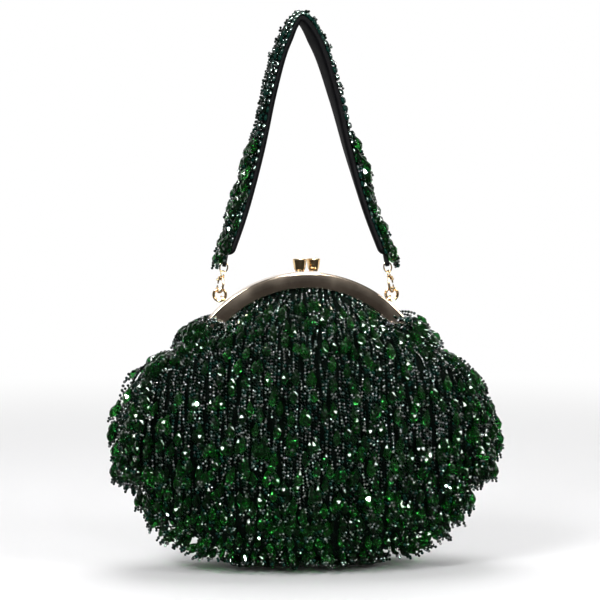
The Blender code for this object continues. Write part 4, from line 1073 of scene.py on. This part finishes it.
def hang_strand(threads, turn, drop, length, lift_end, heap, ends_in_drop):
    """One strand: seeds down the slope with a sway of their own, then the drop and its loop of three."""
    _, around, _, out = cloth_frame(turn, drop)
    under = min(max((-0.1 - out.z) / 0.5, 0.0), 1.0)
    lean = rng.normal(0.0, SWAY if rng.uniform() > STRAY_SHARE else STRAY_SWAY)
    curl = rng.normal(0.0, CURL)
    lift_start = FIRST_LIFT + rng.uniform(0.0, 0.0010)
    path = strand_path(turn, drop, length, lift_start, lift_end * (1.0 - 0.55 * under), heap, lean, curl)
    if len(path) < 2:
        return
    for place in path:
        place.z = max(place.z, TABLE_ROOM)
    for near, far in zip(path, path[1:]):
        threads.seed(near, far - near)
    if not ends_in_drop:
        return
    run = (path[-1] - path[-2]).normalized()
    weight = 0.42 + 0.38 * under
    tail = run * (1.0 - weight) + DOWN * weight + out * 0.12
    tail = (tail + Vector(tuple(rng.normal(0.0, 0.10, 3)))).normalized()
    size = rng.uniform(0.86, 1.06) * (1.0 - 0.10 * under)
    reach = DROP_LENGTH * size
    lowest = max(lowest_tip(path[-1]) - TIP_SLACK, FOOT_HEIGHTS[0])
    if path[-1].z + tail.z * (reach + PICOT_REACH) < lowest:
        fall = min(max((lowest - path[-1].z) / (reach + PICOT_REACH), -1.0), 0.1)
        level = Vector((tail.x, tail.y, 0.0))
        if level.length < 0.2:
            level = Vector((out.x, out.y, 0.0))
        tail = level.normalized() * math.sqrt(1.0 - fall * fall) - DOWN * fall
    centre = path[-1] + tail * (reach / 2 + DROP_GAP)
    centre.z = max(centre.z, PICOT_REACH)
    threads.drop(centre, tail, size)
    tip = centre + tail * (reach / 2)
    tip.z = max(tip.z, TIP_HEIGHT)
    threads.picot(tip, tail, around.normalized())


def sewn_fringe(threads, name, body, node):
    """Makes the threaded beads one piece, which stands for its tier and goes where its cloth goes."""
    piece = threads.make(name)
    if body == "front":
        rides_the_front(piece)
    else:
        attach(piece, body)
    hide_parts(node)


def fringe_row(name, lines, low_turn, high_turn, body, node, spacing, shift):
    """One row: its lines of strands, each (drop, strand length, lift at the end, with drops or not)."""
    threads = Threading()
    for drop, length, lift_end, ends_in_drop in lines:
        for turn in row_starts(drop, low_turn, high_turn, spacing, shift):
            hang_strand(threads, turn + rng.normal(0.0, 0.0014), drop + rng.normal(0.0, 0.016),
                        length * rng.uniform(0.62, 1.20), lift_end * rng.uniform(0.75, 1.15),
                        rng.uniform(0.6, 1.0), ends_in_drop)
        # Short plain strands lie flat on the cloth between the rows.
        flat_drop = drop + 0.065
        for turn in row_starts(flat_drop, low_turn, high_turn, 0.0050, 0.5 + rng.uniform(-0.3, 0.3)):
            hang_strand(threads, turn + rng.normal(0.0, 0.001), flat_drop + rng.normal(0.0, 0.02),
                        rng.uniform(0.009, 0.016), 0.0016, 0.2, False)
        # The row is sewn closer where it goes round the sides.
        for side in (-0.25, 0.25, 0.75):
            low, high = max(low_turn, side - 0.075), min(high_turn, side + 0.075)
            if high - low < 0.01:
                continue
            for turn in row_starts(drop, low, high, 0.0044, 0.5):
                hang_strand(threads, turn + rng.normal(0.0, 0.003), drop + rng.normal(0.0, 0.03),
                            length * rng.uniform(0.35, 0.85), lift_end * rng.uniform(0.7, 1.1),
                            rng.uniform(0.1, 0.95), ends_in_drop)
    sewn_fringe(threads, name, body, node)


def end_tufts(name, side, body, node):
    """Short strands sewn close round each end of one half, which hide the end of the metal."""
    threads = Threading()
    for hand in (-1, 1):
        for i in range(64):
            angle = hand * math.radians(rng.uniform(46.0, 62.0))
            inwards = ARCH_BAND * rng.uniform(0.2, 1.5)
            place = arch_point(angle, ARCH_RADIUS - inwards, side * rng.uniform(0.0096, 0.0125))
            way = (arch_point(angle, 1.0, 0.0) - ARCH_CENTRE) * rng.uniform(0.1, 0.9)
            way += Vector((hand * 0.55, side * rng.uniform(0.05, 0.35), -rng.uniform(0.0, 0.5)))
            way.normalize()
            for step in range(int(rng.integers(3, 9))):
                threads.seed(place, way)
                way = (way + DOWN * 0.10).normalized()
                place = place + way * SEED_PITCH
            size = rng.uniform(0.86, 1.02)
            half = DROP_LENGTH / 2 * size
            way = (way + DOWN * 0.5).normalized()
            centre = place + way * half
            threads.drop(centre, way, size)
            threads.picot(centre + way * half, way, Vector((0.6, side * 0.8, 0.0)))
    sewn_fringe(threads, name, body, node)


end_tufts("front_end_tufts", -1, "front", "front_fringe_1")
end_tufts("rear_end_tufts", 1, "bag", "rear_fringe_1")

# Upper rows: tier, lines, reach round from the middle, distance between strands.
MOUTH_LINES = ((-0.02, 0.006, 0.0022, False), (0.03, 0.012, 0.0036, True), (0.11, 0.018, 0.0046, True))
UPPER_ROWS = (
    (1, MOUTH_LINES, 0.172, 0.0042),
    (1, ((0.20, 0.026, 0.0056, True),), 0.240, 0.0052), (2, ((0.34, 0.032, 0.0062, True),), 0.246, 0.0060),
    (2, ((0.50, 0.034, 0.0066, True),), 0.247, 0.0062), (3, ((0.66, 0.036, 0.0070, True),), 0.248, 0.0062),
    (3, ((0.82, 0.036, 0.0074, True),), 0.249, 0.0062))
for row, (tier, lines, reach, close) in enumerate(UPPER_ROWS, start=1):
    shift = 0.25 + 0.5 * (row % 2)
    fringe_row(f"front_fringe_row_{row}", lines, -reach, reach, "front", f"front_fringe_{tier}", close, shift)
    fringe_row(f"rear_fringe_row_{row}", lines, 0.5 - reach, 0.5 + reach, "bag", f"rear_fringe_{tier}", close,
               shift)

# Lower rows, all the way round: tier, drop, strand length, lift at the end.
LOWER_ROWS = ((1, 0.98, 0.036, 0.0076), (1, 1.11, 0.036, 0.0078), (2, 1.24, 0.036, 0.0080),
              (2, 1.36, 0.034, 0.0080), (3, 1.48, 0.032, 0.0080), (3, 1.60, 0.026, 0.0078),
              (4, 1.72, 0.020, 0.0070), (4, 1.84, 0.013, 0.0050))
for row, (tier, drop, length, lift) in enumerate(LOWER_ROWS, start=1):
    fringe_row(f"lower_fringe_row_{row}", ((drop, length, lift, True),), 0.0, 1.0, "bag",
               f"lower_fringe_{tier}", 0.0061, 0.25 + 0.5 * (row % 2))


# Foot of the fringe: the last strands under the bag are pressed flat by its weight. Their drops and loops lie
# outwards in rings on the table, so the bag rests on glass and not on cloth.

FOOT_RINGS = ((0.0465, 0.0180, 58), (0.0400, 0.0145, 46), (0.0320, 0.0105, 34), (0.0220, 0.0065, 22),
              (0.0100, 0.0025, 9))
foot_threads = Threading()
for wide, deep, count in FOOT_RINGS:
    for i in range(count):
        turn = math.tau * (i + rng.uniform(-0.3, 0.3)) / count
        way = Vector((math.cos(turn), math.sin(turn) * 0.8, rng.uniform(-0.10, 0.30))).normalized()
        centre = Vector((wide * math.cos(turn), deep * math.sin(turn), rng.uniform(0.0042, 0.0062)))
        size = rng.uniform(0.86, 1.0)
        half = DROP_LENGTH / 2 * size
        foot_threads.drop(centre, way, size)
        for step in range(5):
            behind = way * (half + SEED_PITCH * (step + 0.5))
            foot_threads.seed(centre - behind - DOWN * (0.0004 * step), way)
        tip = centre + way * half
        tip.z = max(tip.z, TIP_HEIGHT)
        foot_threads.picot(tip, way, Vector((-math.sin(turn), math.cos(turn), 0.0)))
sewn_fringe(foot_threads, "foot_fringe", "bag", "base_fringe")


# Beads of the strap: rows of seeds couched down along its outer side, two brighter rows of longer beads by
# the front edge, and over the lower part of each arm short strands with large drops and loops.

COUCHED_ROWS = 8
ROW_SPACING = 0.0022
FIRST_ROW = -0.0088
COUCHED_PITCH = 0.00195
LONG_BEAD_PITCH = 0.0045
LONG_BEAD_ROWS = ((0.0101, 0.0010), (0.0058, 0.0030))
LOOP_PITCH = 0.0050
CLUSTER_LAYERS = 11
CLUSTER_COLUMNS = 5
CLUSTER_FOOT = 0.02
CLUSTER_REACH = 0.215
FIRST_COLUMN = -0.0080
COLUMN_SPACING = 0.0042

strap_threads = Threading()
strap_length = sum((b - a).length for a, b in zip(STRAP_LINE, STRAP_LINE[1:]))
couched_count = int(strap_length / COUCHED_PITCH)
for row in range(COUCHED_ROWS):
    offset = FIRST_ROW + ROW_SPACING * row
    for bead in range(couched_count):
        point, along, front, out = strap_frame((bead + 0.5 + rng.uniform(-0.25, 0.25)) / couched_count)
        centre = point + front * (offset + rng.normal(0.0, 0.0003))
        centre += out * (0.0013 + rng.uniform(0.0, 0.0006))
        lie = (along + front * rng.normal(0.0, 0.25)).normalized()
        strap_threads.seed(centre, lie, rng.uniform(0.9, 1.08))
long_count = int(strap_length / LONG_BEAD_PITCH)
for bead in range(long_count):
    point, along, front, out = strap_frame((bead + 0.5) / long_count)
    for offset, height in LONG_BEAD_ROWS:
        centre = point + front * (offset + rng.normal(0.0, 0.0001)) + out * (height + rng.normal(0.0, 0.0002))
        strap_threads.add(SEED_POINTS, SEED_FACES, centre, along, 0.0011, 0.0021, 0, rng.uniform(0.86, 1.0))
loop_count = int(strap_length / LOOP_PITCH)
for loop in range(loop_count):
    point, along, front, out = strap_frame((loop + rng.uniform()) / loop_count)
    centre = point + front * rng.uniform(-0.008, 0.009) + out * rng.uniform(0.0022, 0.0034)
    strap_threads.picot(centre, (along + out * rng.uniform(0.0, 0.5)).normalized(), front)
beading = strap_threads.make("strap_bead_rows")
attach(beading, "handle")
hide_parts("strap_beading")

for hand, word in ((-1, "left"), (1, "right")):
    cluster = Threading()
    for layer in range(CLUSTER_LAYERS):
        for column in range(CLUSTER_COLUMNS):
            share = (layer + rng.uniform(0.1, 0.7)) / CLUSTER_LAYERS
            place = CLUSTER_FOOT + CLUSTER_REACH * (1.0 - share)
            point, along, front, out = strap_frame(place if hand < 0 else 1.0 - place)
            side = FIRST_COLUMN + COLUMN_SPACING * column + rng.normal(0.0, 0.0008)
            start = point + front * side + out * 0.0030
            seeds = int(rng.uniform(0.0030, 0.0090) / SEED_PITCH)
            way = along * (hand * 0.45) + out * rng.uniform(0.05, 0.44) + front * rng.normal(0.0, 0.10)
            way = (way + DOWN * 0.50).normalized()
            for step in range(seeds):
                cluster.seed(start + way * (SEED_PITCH * step), way)
            centre = start + way * (SEED_PITCH * seeds + DROP_LENGTH / 2)
            size = rng.uniform(0.88, 1.06)
            cluster.drop(centre, way, size)
            cluster.picot(centre + way * (DROP_LENGTH / 2 * size), way, front)
    tassel = cluster.make(f"{word}_strap_drop_cluster")
    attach(tassel, "handle")
    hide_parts(f"{word}_strap_drops")
